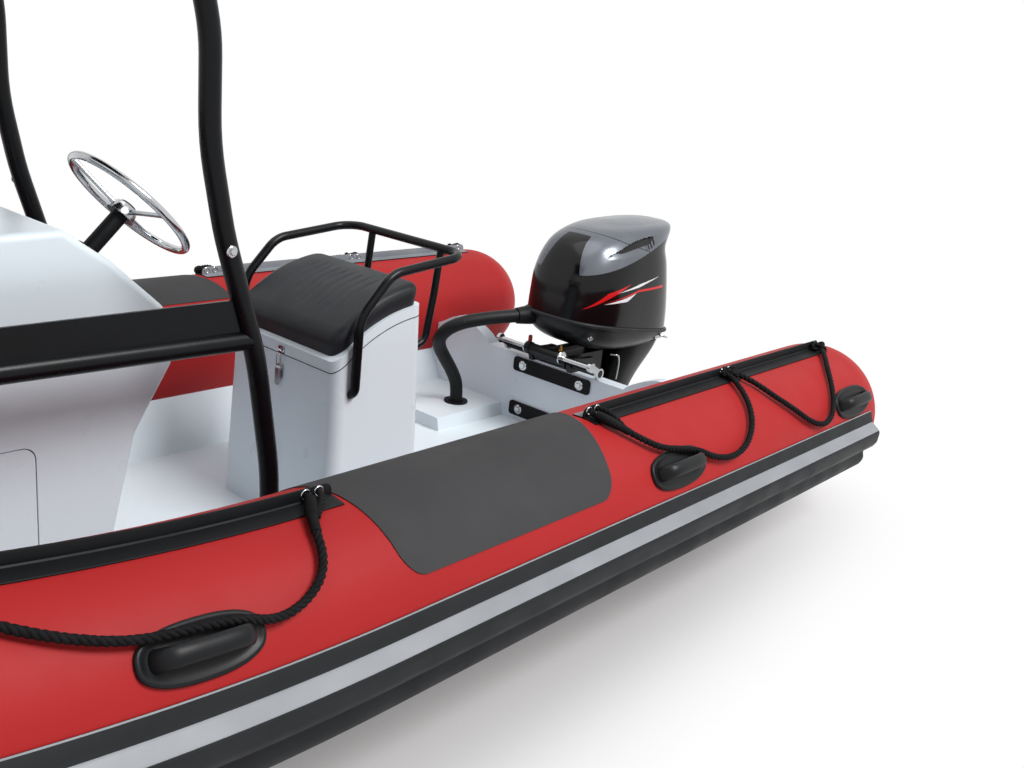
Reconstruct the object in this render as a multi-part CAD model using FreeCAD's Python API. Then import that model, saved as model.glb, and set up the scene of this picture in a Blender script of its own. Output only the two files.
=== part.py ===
import FreeCAD, Part
import math
import os

# Rigid inflatable boat with console, bolster seat, T-top and a single outboard, in millimetres
# X runs forward, Y to port and Z up. The origin is amidships on the waterline, on the centreline.

V = FreeCAD.Vector

# Driving sizes of the inflatable collar
TUBE_R = 260.0
TUBE_HALF_SPACING = 946.0
AXIS_Z = 370.0
DOME_X = -2600.0
DOME_LENGTH = 250.0
SHEER_X = -180.0
SHEER_RADIUS = 5500.0
SHEER_DEG = 8.5
BOW_STRAIGHT = 430.0
BOW_TURN_DEG = 50.0
NOSE_RADIUS = 420.0
SEAT_GAP = 0.3

# Hull, liner and transom
KEEL_Z = -286.0
CHINE_INSET = 246.0
CHINE_Z = -45.0
CHINE_FLAT = 40.0
ENTRY_X = 200.0
STEM_SETBACK = 109.0
STEM_Z = 480.0
HULL_TOP_Z = 40.0
FLOOR_Z = 60.0
FLOOR_INSET = 326.0
STEP_Z = 115.0
STEP_INNER_Y = 250.0
STEP_FRONT_X = -1760.0
JOINT_DEG = 29.0
BULKHEAD_SETBACK = 1200.0
BOW_PLATE = 22.0
TRANSOM_X = -2157.0
TRANSOM_THICK = 60.0
NOTCH_Z = 357.0
NOTCH_HALF = 368.0

# Rub strake, lifeline fins and wear patches
STRAKE_TOP_DEG = 15.6
STRAKE_LOW_DEG = -50.0
STRAKE_BASE = 5.0
STRAKE_RIDGE = 45.0
STRAKE_RIDGE_LOW = 32.0
FIN_DEG = 88.5
FIN_HEIGHT = 33.0
FIN_THICK = 5.0
FIN_FLANGE = 4.0
PATCH_THICK = 2.2

# Seat pod and its rail
SEAT_FRONT_X = -760.0
SEAT_LENGTH = 345.0
SEAT_HALF = 266.0
SEAT_DRAFT = 22.0
SEAT_WALL = 12.0
SEAM_FRONT_Z = 580.0
SEAM_AFT_Z = 762.0
LID_HEIGHT = 34.0
CUSHION_THICK = 78.0
SEAT_RAIL_R = 14.5
SEAT_RAIL_Y = 290.0

# Console and T-top
CONSOLE_SHARE = 350.0 / 620.0
CONSOLE_WALL = 12.0
TTOP_SHARE = 520.0 / 620.0
TTOP_R = 25.0
RAIL_R = 19.0
SIDE_RAIL_R = 24.0
TTOP_TOP_Z = 2050.0
WHEEL_X = -242.0
WHEEL_Z = 1100.0
WHEEL_R = 179.0
WHEEL_TILT_DEG = 45.0
HELM_REACH = 250.0

# Windscreen and console door
SCREEN_R = 620.0
SCREEN_THICK = 6.0
SCREEN_INSET = 35.0
SCREEN_X = 470.0
SCREEN_Z = 1100.0
SCREEN_RAKE_DEG = 24.0
DOOR_X0 = 190.0
DOOR_X1 = 480.0
DOOR_Z0 = 190.0
DOOR_Z1 = 620.0
DOOR_THICK = 12.0
DOOR_GAP = 3.0

# Stainless eyes for towing and lifting
EYE_SETBACK = 230.0
EYE_THICK = 12.0
BOW_EYE_R = 14.0
TOW_EYE_Y = 540.0
TOW_EYE_Z = 150.0
TOW_EYE_R = 12.0
TOW_EYE_REACH = 40.0

# Outboard motor
TILT_X = -2150.0
TILT_Z = 390.0
STEER_X = -2430.0
TILT_SHAFT_R = 16.0
RAM_X = -2090.0
RAM_Z = 424.0
RAM_R = 26.0
RAM_LENGTH = 190.0
ROD_R = 10.0
ROD_HALF = 252.0
PROP_Z = -490.0
PROP_X = -2765.0
PROP_R = 172.0
PROP_PITCH = 430.0
PROP_SHAFT_R = 13.0
PROP_HUB_HALF = 64.0
PLATE_Z = -292.0
PAN_Z = 434.0
PAN_SEAM_Z = 529.0
PAN_SEAM_SLOPE = 0.15
RUNNING_CLEARANCE = 0.06

TAU = math.radians(SHEER_DEG)
BOW_TURN = math.radians(BOW_TURN_DEG)
BOW_RADIUS = (TUBE_HALF_SPACING - NOSE_RADIUS * math.cos(BOW_TURN)) / (1 - math.cos(BOW_TURN))
RISE = V(math.cos(TAU), 0, math.sin(TAU))
INBOARD = V(0, -1, 0)

# Lengths along the collar's axis at the ends of its five stretches
S_STRAIGHT = SHEER_X - DOME_X
S_SHEER = S_STRAIGHT + SHEER_RADIUS * TAU
S_RISE = S_SHEER + BOW_STRAIGHT
S_BOW = S_RISE + BOW_RADIUS * BOW_TURN
S_NOSE = S_BOW + NOSE_RADIUS * (math.pi / 2 - BOW_TURN)

STRAIGHT_END = V(SHEER_X, TUBE_HALF_SPACING, AXIS_Z)
SHEER_END = STRAIGHT_END + V(SHEER_RADIUS * math.sin(TAU), 0, SHEER_RADIUS * (1 - math.cos(TAU)))
RISE_END = SHEER_END + RISE * BOW_STRAIGHT
BOW_CENTRE = RISE_END + INBOARD * BOW_RADIUS
NOSE_CENTRE = BOW_CENTRE + (RISE * math.sin(BOW_TURN) - INBOARD * math.cos(BOW_TURN)) * (BOW_RADIUS - NOSE_RADIUS)
DECK_NORMAL = V(-math.sin(TAU), 0, math.cos(TAU))
NOSE_X = (NOSE_CENTRE + RISE * NOSE_RADIUS).x

# Sizes that follow the collar: the stem, the chine, the floor and what stands on it
STEM_X = NOSE_X - STEM_SETBACK
EYE_X = STEM_X - EYE_SETBACK
BULKHEAD_X = STEM_X - BULKHEAD_SETBACK
CHINE_Y = TUBE_HALF_SPACING - CHINE_INSET
FLOOR_HALF = TUBE_HALF_SPACING - FLOOR_INSET
TTOP_Y = FLOOR_HALF * TTOP_SHARE
CONSOLE_HALF = FLOOR_HALF * CONSOLE_SHARE
SCREEN_HALF = CONSOLE_HALF - SCREEN_INSET
TRANSOM_AFT = TRANSOM_X - TRANSOM_THICK

# A length past everything on the boat, for the blocks that cut it
BEYOND = 2 * (STEM_X - DOME_X)


# The collar axis on the port side: its point, forward direction, outboard direction and up direction
def axis_frame(s):
    if s <= S_STRAIGHT:
        return V(DOME_X + s, TUBE_HALF_SPACING, AXIS_Z), V(1, 0, 0), V(0, 1, 0), V(0, 0, 1)
    if s <= S_SHEER:
        a = (s - S_STRAIGHT) / SHEER_RADIUS
        point = STRAIGHT_END + V(SHEER_RADIUS * math.sin(a), 0, SHEER_RADIUS * (1 - math.cos(a)))
        return point, V(math.cos(a), 0, math.sin(a)), V(0, 1, 0), V(-math.sin(a), 0, math.cos(a))
    if s <= S_RISE:
        return SHEER_END + RISE * (s - S_SHEER), RISE, V(0, 1, 0), DECK_NORMAL
    if s <= S_BOW:
        centre, radius, a = BOW_CENTRE, BOW_RADIUS, (s - S_RISE) / BOW_RADIUS
    else:
        centre, radius, a = NOSE_CENTRE, NOSE_RADIUS, BOW_TURN + (s - S_BOW) / NOSE_RADIUS
    outboard = RISE * math.sin(a) - INBOARD * math.cos(a)
    forward = RISE * math.cos(a) + INBOARD * math.sin(a)
    return centre + outboard * radius, forward, outboard, DECK_NORMAL


# A point at a radius and an angle round the collar axis, 0 outboard and 90 on top
def on_tube(s, angle_deg, radius):
    point, forward, outboard, up = axis_frame(s)
    a = math.radians(angle_deg)
    return point + outboard * (radius * math.cos(a)) + up * (radius * math.sin(a))


# Carries a flat section, drawn square to the axis at s0, along the axis to s1
def carry(face, s0, s1):
    solids = []
    knots = [S_STRAIGHT, S_SHEER, S_RISE, S_BOW, S_NOSE]
    here = s0
    for knot in knots:
        if here >= knot - 0.001 or s1 <= here + 0.001:
            continue
        there = min(knot, s1)
        step = there - here
        forward = axis_frame(0.5 * (here + there))[1]
        if knot == S_STRAIGHT:
            solids.append(face.extrude(V(step, 0, 0)))
            face = face.translated(V(step, 0, 0))
        elif knot == S_RISE:
            solids.append(face.extrude(RISE * step))
            face = face.translated(RISE * step)
        else:
            if knot == S_SHEER:
                centre, spin, radius = STRAIGHT_END + V(0, 0, SHEER_RADIUS), V(0, -1, 0), SHEER_RADIUS
            elif knot == S_BOW:
                centre, spin, radius = BOW_CENTRE, DECK_NORMAL * -1, BOW_RADIUS
            else:
                centre, spin, radius = NOSE_CENTRE, DECK_NORMAL * -1, NOSE_RADIUS
            turn = math.degrees(step / radius)
            solids.append(face.revolve(centre, spin, turn))
            face = face.copy()
            face.rotate(centre, spin, turn)
        here = there
    whole = solids[0]
    if len(solids) > 1:
        whole = whole.multiFuse(solids[1:]).removeSplitter()
    return whole


def mirrored(shape):
    return shape.mirror(V(0, 0, 0), V(0, 1, 0))


def save(name, shape):
    shape.exportStep("parts/" + name + ".step")
    print(name, "solids", len(shape.Solids), "valid", shape.isValid(), "litres", round(shape.Volume / 1e6, 2))


# A round section of the collar at s
def round_face(s, radius):
    point, forward, outboard, up = axis_frame(s)
    return Part.Face(Part.Wire(Part.Circle(point, forward, radius).toShape()))


# A section between two radii and two angles
def ring_face(s, inner, outer, low_deg, high_deg):
    mid = 0.5 * (low_deg + high_deg)
    outside = Part.Arc(on_tube(s, low_deg, outer), on_tube(s, mid, outer), on_tube(s, high_deg, outer)).toShape()
    inside = Part.Arc(on_tube(s, low_deg, inner), on_tube(s, mid, inner), on_tube(s, high_deg, inner)).toShape()
    start = Part.makeLine(on_tube(s, low_deg, inner), on_tube(s, low_deg, outer))
    end = Part.makeLine(on_tube(s, high_deg, outer), on_tube(s, high_deg, inner))
    return Part.Face(Part.Wire([start, outside, end, inside]))


# A closed section through (angle, height above the tube) points, seated on the tube by an arc
def seated_face(s, outline):
    points = [on_tube(s, angle, TUBE_R + SEAT_GAP + height) for angle, height in outline]
    mid = on_tube(s, 0.5 * (outline[0][0] + outline[-1][0]), TUBE_R + SEAT_GAP)
    edges = [Part.makeLine(points[i], points[i + 1]) for i in range(len(points) - 1)]
    edges.append(Part.Arc(points[-1], mid, points[0]).toShape())
    return Part.Face(Part.Wire(edges))


def polygon(points):
    return Part.Face(Part.makePolygon(points + [points[0]]))


def prism_xz(points, y0, y1):
    return polygon([V(x, y0, z) for x, z in points]).extrude(V(0, y1 - y0, 0))


def prism_xy(points, z0, z1):
    return polygon([V(x, y, z0) for x, y in points]).extrude(V(0, 0, z1 - z0))


# A round bar through the points, with its corners turned by arcs of the radii given for the inner points
def bent_path(points, radii):
    points = [V(*p) for p in points]
    edges = []
    start = points[0]
    for i in range(1, len(points) - 1):
        before = (points[i - 1] - points[i]).normalize()
        after = (points[i + 1] - points[i]).normalize()
        half = before.getAngle(after) / 2
        radius = radii[i - 1] if isinstance(radii, (list, tuple)) else radii
        back = radius / math.tan(half)
        first = points[i] + before * back
        last = points[i] + after * back
        bisector = (before + after).normalize()
        middle = points[i] + bisector * (radius / math.sin(half) - radius)
        if (first - start).Length > 0.01:
            edges.append(Part.makeLine(start, first))
        edges.append(Part.Arc(first, middle, last).toShape())
        start = last
    edges.append(Part.makeLine(start, points[-1]))
    return Part.Wire(edges)


def bar(points, bends, radius):
    path = bent_path(points, bends)
    start = V(*points[0])
    direction = (V(*points[1]) - start).normalize()
    ring = Part.Wire(Part.Circle(start, direction, radius).toShape())
    return path.makePipeShell([ring], True, True)


def rod(start, end, radius):
    start, end = V(*start), V(*end)
    return Part.makeCylinder(radius, (end - start).Length, start, end - start)


# All the space between two stations and between two heights
def space(x0, x1, z0=-BEYOND, z1=BEYOND):
    return Part.makeBox(x1 - x0, 2 * BEYOND, z1 - z0, V(x0, -BEYOND, z0))


# A collar tube from its slightly flattened aft dome to s, grown evenly by a gap
def collar_tube(s, grow):
    radius, length = TUBE_R + grow, DOME_LENGTH + grow
    tube = carry(round_face(0, radius), 0, s)
    oval = Part.Ellipse(V(0, 0, radius), V(-length, 0, 0), V(0, 0, 0))
    edges = [oval.toShape(0, math.pi / 2)]
    edges.append(Part.makeLine(V(-length, 0, 0), V(0, 0, 0)))
    edges.append(Part.makeLine(V(0, 0, 0), V(0, 0, radius)))
    cap = Part.Face(Part.Wire(edges)).revolve(V(0, 0, 0), V(1, 0, 0), 360)
    cap.translate(V(DOME_X, TUBE_HALF_SPACING, AXIS_Z))
    return tube.fuse(cap).removeSplitter()


def collar_bow():
    half = carry(round_face(S_RISE, TUBE_R), S_RISE, S_NOSE)
    return half.fuse(mirrored(half)).removeSplitter()


def collar_cutter():
    side = collar_tube(S_NOSE, SEAT_GAP)
    return side, mirrored(side)


# Boat body: lofted outside, trimmed to the collar, the sheer and the transom
def forward_share(x):
    return max(0.0, (x - ENTRY_X) / (STEM_X - ENTRY_X))


def keel_z(x):
    return KEEL_Z + (STEM_Z - KEEL_Z) * forward_share(x) ** 2.7


def chine_z(x):
    return CHINE_Z + (STEM_Z + 14 - CHINE_Z) * forward_share(x) ** 2.1


def chine_y(x):
    return CHINE_Y * (1 - 0.91 * forward_share(x) ** 2.6)


def axis_at(x):
    low, high = 0.0, S_NOSE
    for _ in range(40):
        mid = 0.5 * (low + high)
        if axis_frame(mid)[0].x < x:
            low = mid
        else:
            high = mid
    return axis_frame(low)[0]


# Two points inside a tube, where its cut hides the outline's ends
def inside_tube(tube):
    return [(tube.y - 46, tube.z - 170), (tube.y - 86, tube.z)]


def body_section(x):
    tube = axis_at(max(x, DOME_X + 1))
    half = [(0, keel_z(x)), (chine_y(x), chine_z(x)), (chine_y(x) + CHINE_FLAT, chine_z(x) + 8)]
    half += inside_tube(tube)
    ring = half + [(-y, z) for y, z in reversed(half[1:])]
    return Part.makePolygon([V(x, y, z) for y, z in ring] + [V(x, *half[0])])


# Everything above the sheer line, lowered below the collar axis by the joint's drop
def above_sheer(drop):
    radius = SHEER_RADIUS + drop
    low = AXIS_Z - drop
    middle = V(SHEER_X, 0, AXIS_Z + SHEER_RADIUS)
    arc_end = middle + V(math.sin(TAU), 0, -math.cos(TAU)) * radius
    arc_mid = middle + V(math.sin(TAU / 2), 0, -math.cos(TAU / 2)) * radius
    far = arc_end + RISE * BEYOND
    edges = [Part.makeLine(V(-BEYOND, 0, low), V(SHEER_X, 0, low))]
    edges.append(Part.Arc(V(SHEER_X, 0, low), arc_mid, arc_end).toShape())
    edges.append(Part.makeLine(arc_end, far))
    edges.append(Part.makeLine(far, V(far.x, 0, BEYOND)))
    edges.append(Part.makeLine(V(far.x, 0, BEYOND), V(-BEYOND, 0, BEYOND)))
    edges.append(Part.makeLine(V(-BEYOND, 0, BEYOND), V(-BEYOND, 0, low)))
    face = Part.Face(Part.Wire(edges)).translated(V(0, -BEYOND, 0))
    return face.extrude(V(0, 2 * BEYOND, 0))


JOINT_DROP = TUBE_R * math.sin(math.radians(JOINT_DEG))
JOINT_IN = TUBE_R * math.cos(math.radians(JOINT_DEG))


def cockpit():
    sections = []
    ahead = BULKHEAD_X - SHEER_X
    for x in (DOME_X - 100, SHEER_X, SHEER_X + 0.28 * ahead, SHEER_X + 0.56 * ahead, BULKHEAD_X):
        tube = axis_at(max(x, DOME_X + 1))
        top_y = tube.y - JOINT_IN
        top_z = tube.z - JOINT_DROP
        half = [(FLOOR_HALF - (TUBE_HALF_SPACING - tube.y), FLOOR_Z), (top_y, top_z), (top_y, top_z + 400)]
        ring = half + [(-y, z) for y, z in reversed(half)]
        sections.append(Part.makePolygon([V(x, y, z) for y, z in ring] + [V(x, *half[0])]))
    return Part.makeLoft(sections, True, True)


# Raised corners each side of the motor well, where the rigging comes up
def aft_steps():
    wall = (TUBE_HALF_SPACING - JOINT_IN - FLOOR_HALF) / (AXIS_Z - JOINT_DROP - FLOOR_Z)
    outer = FLOOR_HALF + wall * (STEP_Z - FLOOR_Z)
    section = [(STEP_INNER_Y + 12, STEP_Z), (outer, STEP_Z), (FLOOR_HALF, FLOOR_Z), (STEP_INNER_Y, FLOOR_Z)]
    face = polygon([V(TRANSOM_X, y, z) for y, z in section])
    return face.extrude(V(STEP_FRONT_X - TRANSOM_X, 0, 0))


STATIONS = 8


def build_body():
    length = STEM_X - ENTRY_X
    front = Part.makeLoft([body_section(ENTRY_X + length * i / STATIONS) for i in range(STATIONS + 1)], True, False)
    aft = Part.Face(body_section(ENTRY_X)).extrude(V(TRANSOM_AFT - ENTRY_X, 0, 0))
    body = front.fuse(aft)
    port, starboard = collar_cutter()
    body = body.cut(port).cut(starboard)
    body = body.cut(above_sheer(JOINT_DROP))
    return body


def largest(shape):
    return max(shape.Solids, key=lambda solid: solid.Volume)


def split_body():
    body = build_body()
    ahead = largest(body.cut(space(-BEYOND, TRANSOM_X)))
    lower = space(-BEYOND, BEYOND, -BEYOND, HULL_TOP_Z)
    front = space(BULKHEAD_X, BEYOND).cut(above_sheer(JOINT_DROP + BOW_PLATE))
    hull = largest(ahead.common(lower.fuse(front)))
    rest = ahead.cut(lower.fuse(front))
    bow_plate = largest(rest.common(space(BULKHEAD_X, BEYOND)))
    liner = largest(rest.common(space(-BEYOND, BULKHEAD_X)))
    liner = liner.cut(cockpit())
    steps = aft_steps()
    liner = liner.fuse([steps, mirrored(steps)]).removeSplitter()
    return hull, largest(liner), bow_plate


# Bow locker: a cavity under a hinged hatch in the bow deck
LOCKER_X0 = BULKHEAD_X + 120
LOCKER_X1 = LOCKER_X0 + 440
LOCKER_HALF = 230.0
LOCKER_FLOOR_Z = 195.0
LOCKER_RIM = 25.0
HATCH_GAP = 3.0

# Surface hinges: the pin's height over the face, its knuckles and its leaves
KNUCKLE_R = 6.0
KNUCKLE_GAP = 0.5
LEAF_LENGTH = 24.0
LEAF_THICK = 3.5
PIN_HEIGHT = 8.0
LEAF_SUNK = 0.5


# One half of a hinge on a face that looks to outward; its leaf runs toward leaf_way from the pin
def hinge_half(pin, leaf_way, outward, width, moving):
    if moving:
        spans = ((-1.5 * width, -0.5 * width), (0.5 * width, 1.5 * width))
    else:
        spans = ((-0.5 * width + KNUCKLE_GAP, 0.5 * width - KNUCKLE_GAP),)
    foot = PIN_HEIGHT + LEAF_SUNK
    pieces = []
    for y0, y1 in spans:
        pieces.append(rod((0, y0, 0), (0, y1, 0), KNUCKLE_R))
        pieces.append(Part.makeBox(LEAF_LENGTH, y1 - y0, LEAF_THICK, V(0, y0, -foot)))
        pieces.append(Part.makeBox(KNUCKLE_R, y1 - y0, foot, V(0, y0, -foot)))
    across = outward.cross(leaf_way)
    matrix = FreeCAD.Matrix(leaf_way.x, across.x, outward.x, pin.x, leaf_way.y, across.y, outward.y, pin.y,
                            leaf_way.z, across.z, outward.z, pin.z, 0, 0, 0, 1)
    half = pieces[0].fuse(pieces[1:])
    half.Placement = FreeCAD.Placement(matrix)
    return half


def deck_z(x):
    return SHEER_END.z - JOINT_DROP / math.cos(TAU) + (x - SHEER_END.x) * math.tan(TAU)


def on_bow_deck(x, y, height):
    return V(x, y, deck_z(x)) + DECK_NORMAL * height


def hatch_block(grow, low, high):
    x0, x1, half = LOCKER_X0 - grow, LOCKER_X1 + grow, LOCKER_HALF + grow
    base = polygon([on_bow_deck(x, y, low) for x, y in ((x0, -half), (x1, -half), (x1, half), (x0, half))])
    block = base.extrude(DECK_NORMAL * (high - low))
    return block.makeFillet(30 + grow, [e for e in block.Edges if abs(e.tangentAt(e.FirstParameter) * DECK_NORMAL) > 0.9])


def hatch_hinges(moving):
    halves = []
    for y in (-130, 130):
        pin = on_bow_deck(LOCKER_X1 + HATCH_GAP / 2, y, PIN_HEIGHT)
        halves.append(hinge_half(pin, RISE * -1 if moving else RISE, DECK_NORMAL, 26, moving))
    return halves


def bow_parts(hull, plate):
    x0, x1, half = LOCKER_X0 + LOCKER_RIM, LOCKER_X1 - LOCKER_RIM, LOCKER_HALF - LOCKER_RIM
    well = prism_xy([(x0, -half), (x1, -half), (x1, half), (x0, half)], LOCKER_FLOOR_Z, 700)
    deck = plate.cut(hatch_block(HATCH_GAP, -60, 60)).fuse(hatch_hinges(False))
    hatch = hatch_block(0, SEAT_GAP - BOW_PLATE, 0).fuse(hatch_hinges(True))
    return hull.cut(well), deck.removeSplitter(), hatch.removeSplitter()


# The transom's shoulder from the notch to the tube, as (share of the way, height over the notch)
SHOULDER = ((0, 0), (0.10, 28), (0.23, 50), (0.38, 70), (0.54, 80), (0.72, 66), (0.87, 39), (1.04, 16))


def transom_plate():
    outside = [(0, KEEL_Z), (CHINE_Y, CHINE_Z), (CHINE_Y + CHINE_FLAT, CHINE_Z + 8)]
    outside += inside_tube(V(TRANSOM_AFT, TUBE_HALF_SPACING, AXIS_Z))
    way = TUBE_HALF_SPACING - TUBE_R - NOTCH_HALF
    top = [V(TRANSOM_AFT, NOTCH_HALF + share * way, NOTCH_Z + rise) for share, rise in reversed(SHOULDER)]
    shoulder = Part.BSplineCurve()
    shoulder.interpolate(top)
    line = [V(TRANSOM_AFT, y, z) for y, z in outside] + [top[0]]
    middle = [top[-1], V(TRANSOM_AFT, 0, NOTCH_Z), line[0]]
    wire = Part.Wire([Part.makePolygon(line), shoulder.toShape(), Part.makePolygon(middle)])
    half = Part.Face(Part.Wire(Part.__sortEdges__(wire.Edges))).extrude(V(TRANSOM_THICK, 0, 0))
    port, starboard = collar_cutter()
    return largest(half.fuse(mirrored(half)).removeSplitter().cut(port).cut(starboard))


# Backing plates for the motor's bolts on the transom's forward face
PLATE_HALF = 207.0
PLATE_HEIGHT = 62.0
PLATE_THICK = 8.0
BOLT_HALF_Y = 154.0
BOLT_UPPER_Z = 314.0
BOLT_ROW_GAP = 200.0


def backing_plates():
    plates = []
    for row in (0, 1):
        z = BOLT_UPPER_Z - row * BOLT_ROW_GAP
        plate = Part.makeBox(PLATE_THICK, 2 * PLATE_HALF, PLATE_HEIGHT, V(0, -PLATE_HALF, -PLATE_HEIGHT / 2))
        plate = plate.makeFillet(14, [e for e in plate.Edges if abs(e.tangentAt(e.FirstParameter).x) > 0.9])
        for y in (-BOLT_HALF_Y, BOLT_HALF_Y):
            plate = plate.fuse(Part.makeCylinder(15, 4, V(PLATE_THICK, y, 0), V(1, 0, 0)))
            plate = plate.fuse(Part.makeCylinder(9, 9, V(PLATE_THICK + 4, y, 0), V(1, 0, 0)))
        plate.translate(V(TRANSOM_X, 0, z))
        plates.append(plate)
    return Part.makeCompound(plates)


# Rub strake: two ridges on a band glued round the outside of the collar
def strake_outline():
    ridge, low = STRAKE_RIDGE, STRAKE_RIDGE_LOW
    return [(STRAKE_TOP_DEG, 0), (STRAKE_TOP_DEG, 3), (STRAKE_TOP_DEG - 1.5, STRAKE_BASE), (6, 12), (2, ridge - 8),
            (-1, ridge), (-8, ridge), (-12, ridge - 8), (-16, 15), (-20, 15), (-24, low - 4), (-27, low), (-31, low),
            (-35, low - 8), (STRAKE_LOW_DEG + 4, STRAKE_BASE), (STRAKE_LOW_DEG, 2), (STRAKE_LOW_DEG, 0)]


def rub_strakes():
    outline = strake_outline()
    side = carry(seated_face(0, outline), 0, S_RISE)
    bow = carry(seated_face(S_RISE, outline), S_RISE, S_NOSE)
    return side, bow.fuse(mirrored(bow)).removeSplitter()


# Lifeline fin: a flange glued on top of the tube with a stiff web standing on it
def fin_outline():
    web = math.degrees(FIN_THICK / TUBE_R) / 2
    return [(FIN_DEG + 8, 0), (FIN_DEG + 8, FIN_FLANGE), (FIN_DEG + web, FIN_FLANGE), (FIN_DEG + web, FIN_HEIGHT),
            (FIN_DEG - web, FIN_HEIGHT), (FIN_DEG - web, FIN_FLANGE), (FIN_DEG - 10.5, FIN_FLANGE), (FIN_DEG - 10.5, 0)]


FIN_AFT = (40.0, 1520.0)
FIN_FORE = (2424.0, 4300.0)
FIN_END_R = 20.0


def fins():
    outline = fin_outline()
    pieces = []
    for s0, s1 in (FIN_AFT, FIN_FORE):
        fin = carry(seated_face(s0, outline), s0, s1)
        corners = [e for e in fin.Edges if FIN_THICK < e.Length < 1.3 * FIN_THICK]
        pieces.append(fin.makeFillet(FIN_END_R, corners))
    return Part.makeCompound(pieces)


# Wear patch where the crew steps over the tube, as (distance along the collar, angle) at its corners
PATCH_LOW = (1636.0, 2376.0, 30.0)
PATCH_HIGH = (1490.0, 2440.0, 128.0)
PATCH_CORNER_R = 42.0


def wear_patch():
    inner = TUBE_R + SEAT_GAP
    s0, s1 = PATCH_HIGH[0] - 5, PATCH_HIGH[1] + 5
    band = carry(ring_face(s0, inner, inner + PATCH_THICK, PATCH_LOW[2] - 8, PATCH_HIGH[2] + 8), s0, s1)
    middle = math.radians(0.5 * (PATCH_LOW[2] + PATCH_HIGH[2]))
    radial = V(0, math.cos(middle), math.sin(middle))
    across = V(0, -math.sin(middle), math.cos(middle))
    corners = []
    for start, end, angle in (PATCH_LOW, PATCH_HIGH):
        rise = across * (inner * math.sin(math.radians(angle) - middle))
        corners += [V(DOME_X + s, TUBE_HALF_SPACING, AXIS_Z) + rise for s in (start, end)]
    shape = polygon([corners[0], corners[1], corners[3], corners[2]]).extrude(radial * 2 * TUBE_R)
    low = [e for e in shape.Edges if abs(e.tangentAt(e.FirstParameter) * radial) > 0.99]
    low = sorted(low, key=lambda e: (e.CenterOfMass - corners[0]) * across)[:2]
    return largest(band.common(shape.makeFillet(PATCH_CORNER_R, low)))


# Moulded rubber grab handles on the outside of the tube
HANDLES = ((146.0, 29.0), (1320.0, 32.0), (2890.0, 33.0), (3620.0, 33.0))
HANDLE_LENGTH = 270.0
HANDLE_WIDTH = 112.0
HANDLE_PAD = 9.0
GRIP_R = 12.0
GRIP_RISE = 44.0


def grab_handle(s, angle):
    point, forward, outboard, up = axis_frame(s)
    a = math.radians(angle)
    radial = outboard * math.cos(a) + up * math.sin(a)
    across = forward.cross(radial)
    centre = point + radial * (TUBE_R + SEAT_GAP)
    inner = TUBE_R + SEAT_GAP
    half_len = HANDLE_LENGTH / 2
    ring = ring_face(s - half_len - 5, inner, inner + HANDLE_PAD, angle - 16, angle + 16)
    band = carry(ring, s - half_len - 5, s + half_len + 5)
    oval = Part.Ellipse(centre + forward * half_len - radial * 40, centre + across * (HANDLE_WIDTH / 2) - radial * 40,
                        centre - radial * 40)
    prism = Part.Face(Part.Wire(oval.toShape())).extrude(radial * 120)
    pad = band.common(prism)
    foot = half_len - 42
    ends = []
    for along, rise in ((-foot, HANDLE_PAD - 2), (-foot + 22, GRIP_RISE), (foot - 22, GRIP_RISE), (foot, HANDLE_PAD - 2)):
        ends.append(centre + forward * along + radial * rise)
    grip = bar([tuple(p) for p in ends], 16, GRIP_R)
    return pad.fuse(grip).removeSplitter()


def grab_handles():
    return Part.makeCompound([grab_handle(s, angle) for s, angle in HANDLES])


# Lifeline ropes, each given by (distance along the collar, angle, height of the rope's middle over the fabric)
ROPE_R = 8.0
ROPE_FORE = ((2499, 84, 20), (2530, 76, 20), (2558, 65, 20), (2572, 54, 19), (2604, 44, 18),
             (2665, 36.8, 18), (2735, 34.5, 20), (2798, 38, 28), (2862, 40, 30), (2929, 40.5, 28),
             (3011, 41.5, 20), (3090, 45, 20), (3180, 52, 18), (3260, 61, 18), (3315, 72, 18),
             (3350, 84, 20))
ROPE_MID = ((1499, 83, 20), (1482, 67, 22), (1432, 54, 20), (1378, 46, 20), (1300, 41.5, 24),
            (1220, 37.5, 20), (1150, 29.5, 18), (1056, 25.5, 18), (970, 28, 18), (905, 36, 18),
            (863, 45, 18), (828, 56, 18), (798, 69, 19), (762, 82, 20))
ROPE_AFT = ((722, 80, 20), (698, 66, 18), (668, 53, 18), (600, 40, 18), (520, 27, 18), (429, 21, 18),
            (362, 24, 18), (318, 33, 18), (270, 46, 18), (215, 59, 18), (140, 71, 18), (80, 81, 20))


# The radii of the arcs at a soft line's turns, from its shorter neighbouring run
def soft_radii(points):
    radii = []
    for i in range(1, len(points) - 1):
        before = points[i - 1] - points[i]
        after = points[i + 1] - points[i]
        turn = math.pi - before.getAngle(after)
        radii.append(0.45 * min(before.Length, after.Length) / math.tan(turn / 2))
    print("radii", [round(r) for r in radii])
    return radii


# A lifeline runs from web to web of the fins, a hair off the first web and the last
def rope(table):
    face_deg = FIN_DEG - math.degrees((FIN_THICK / 2 + SEAT_GAP) / TUBE_R)
    ends = []
    for (s, angle, height), (s_next, _, _) in ((table[0], table[1]), (table[-1], table[-2])):
        ends.append((s + 0.3 * (s - s_next), face_deg + 3, height))
    table = [ends[0], *table, ends[1]]
    points = [on_tube(s, angle, TUBE_R + height) for s, angle, height in table]
    line = bar([tuple(p) for p in points], soft_radii(points), ROPE_R)
    for s in (table[0][0], table[-1][0]):
        web = ring_face(s - 60, TUBE_R, TUBE_R + 80, face_deg, FIN_DEG + 20)
        line = line.cut(carry(web, s - 60, s + 60))
    return largest(line)


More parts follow.
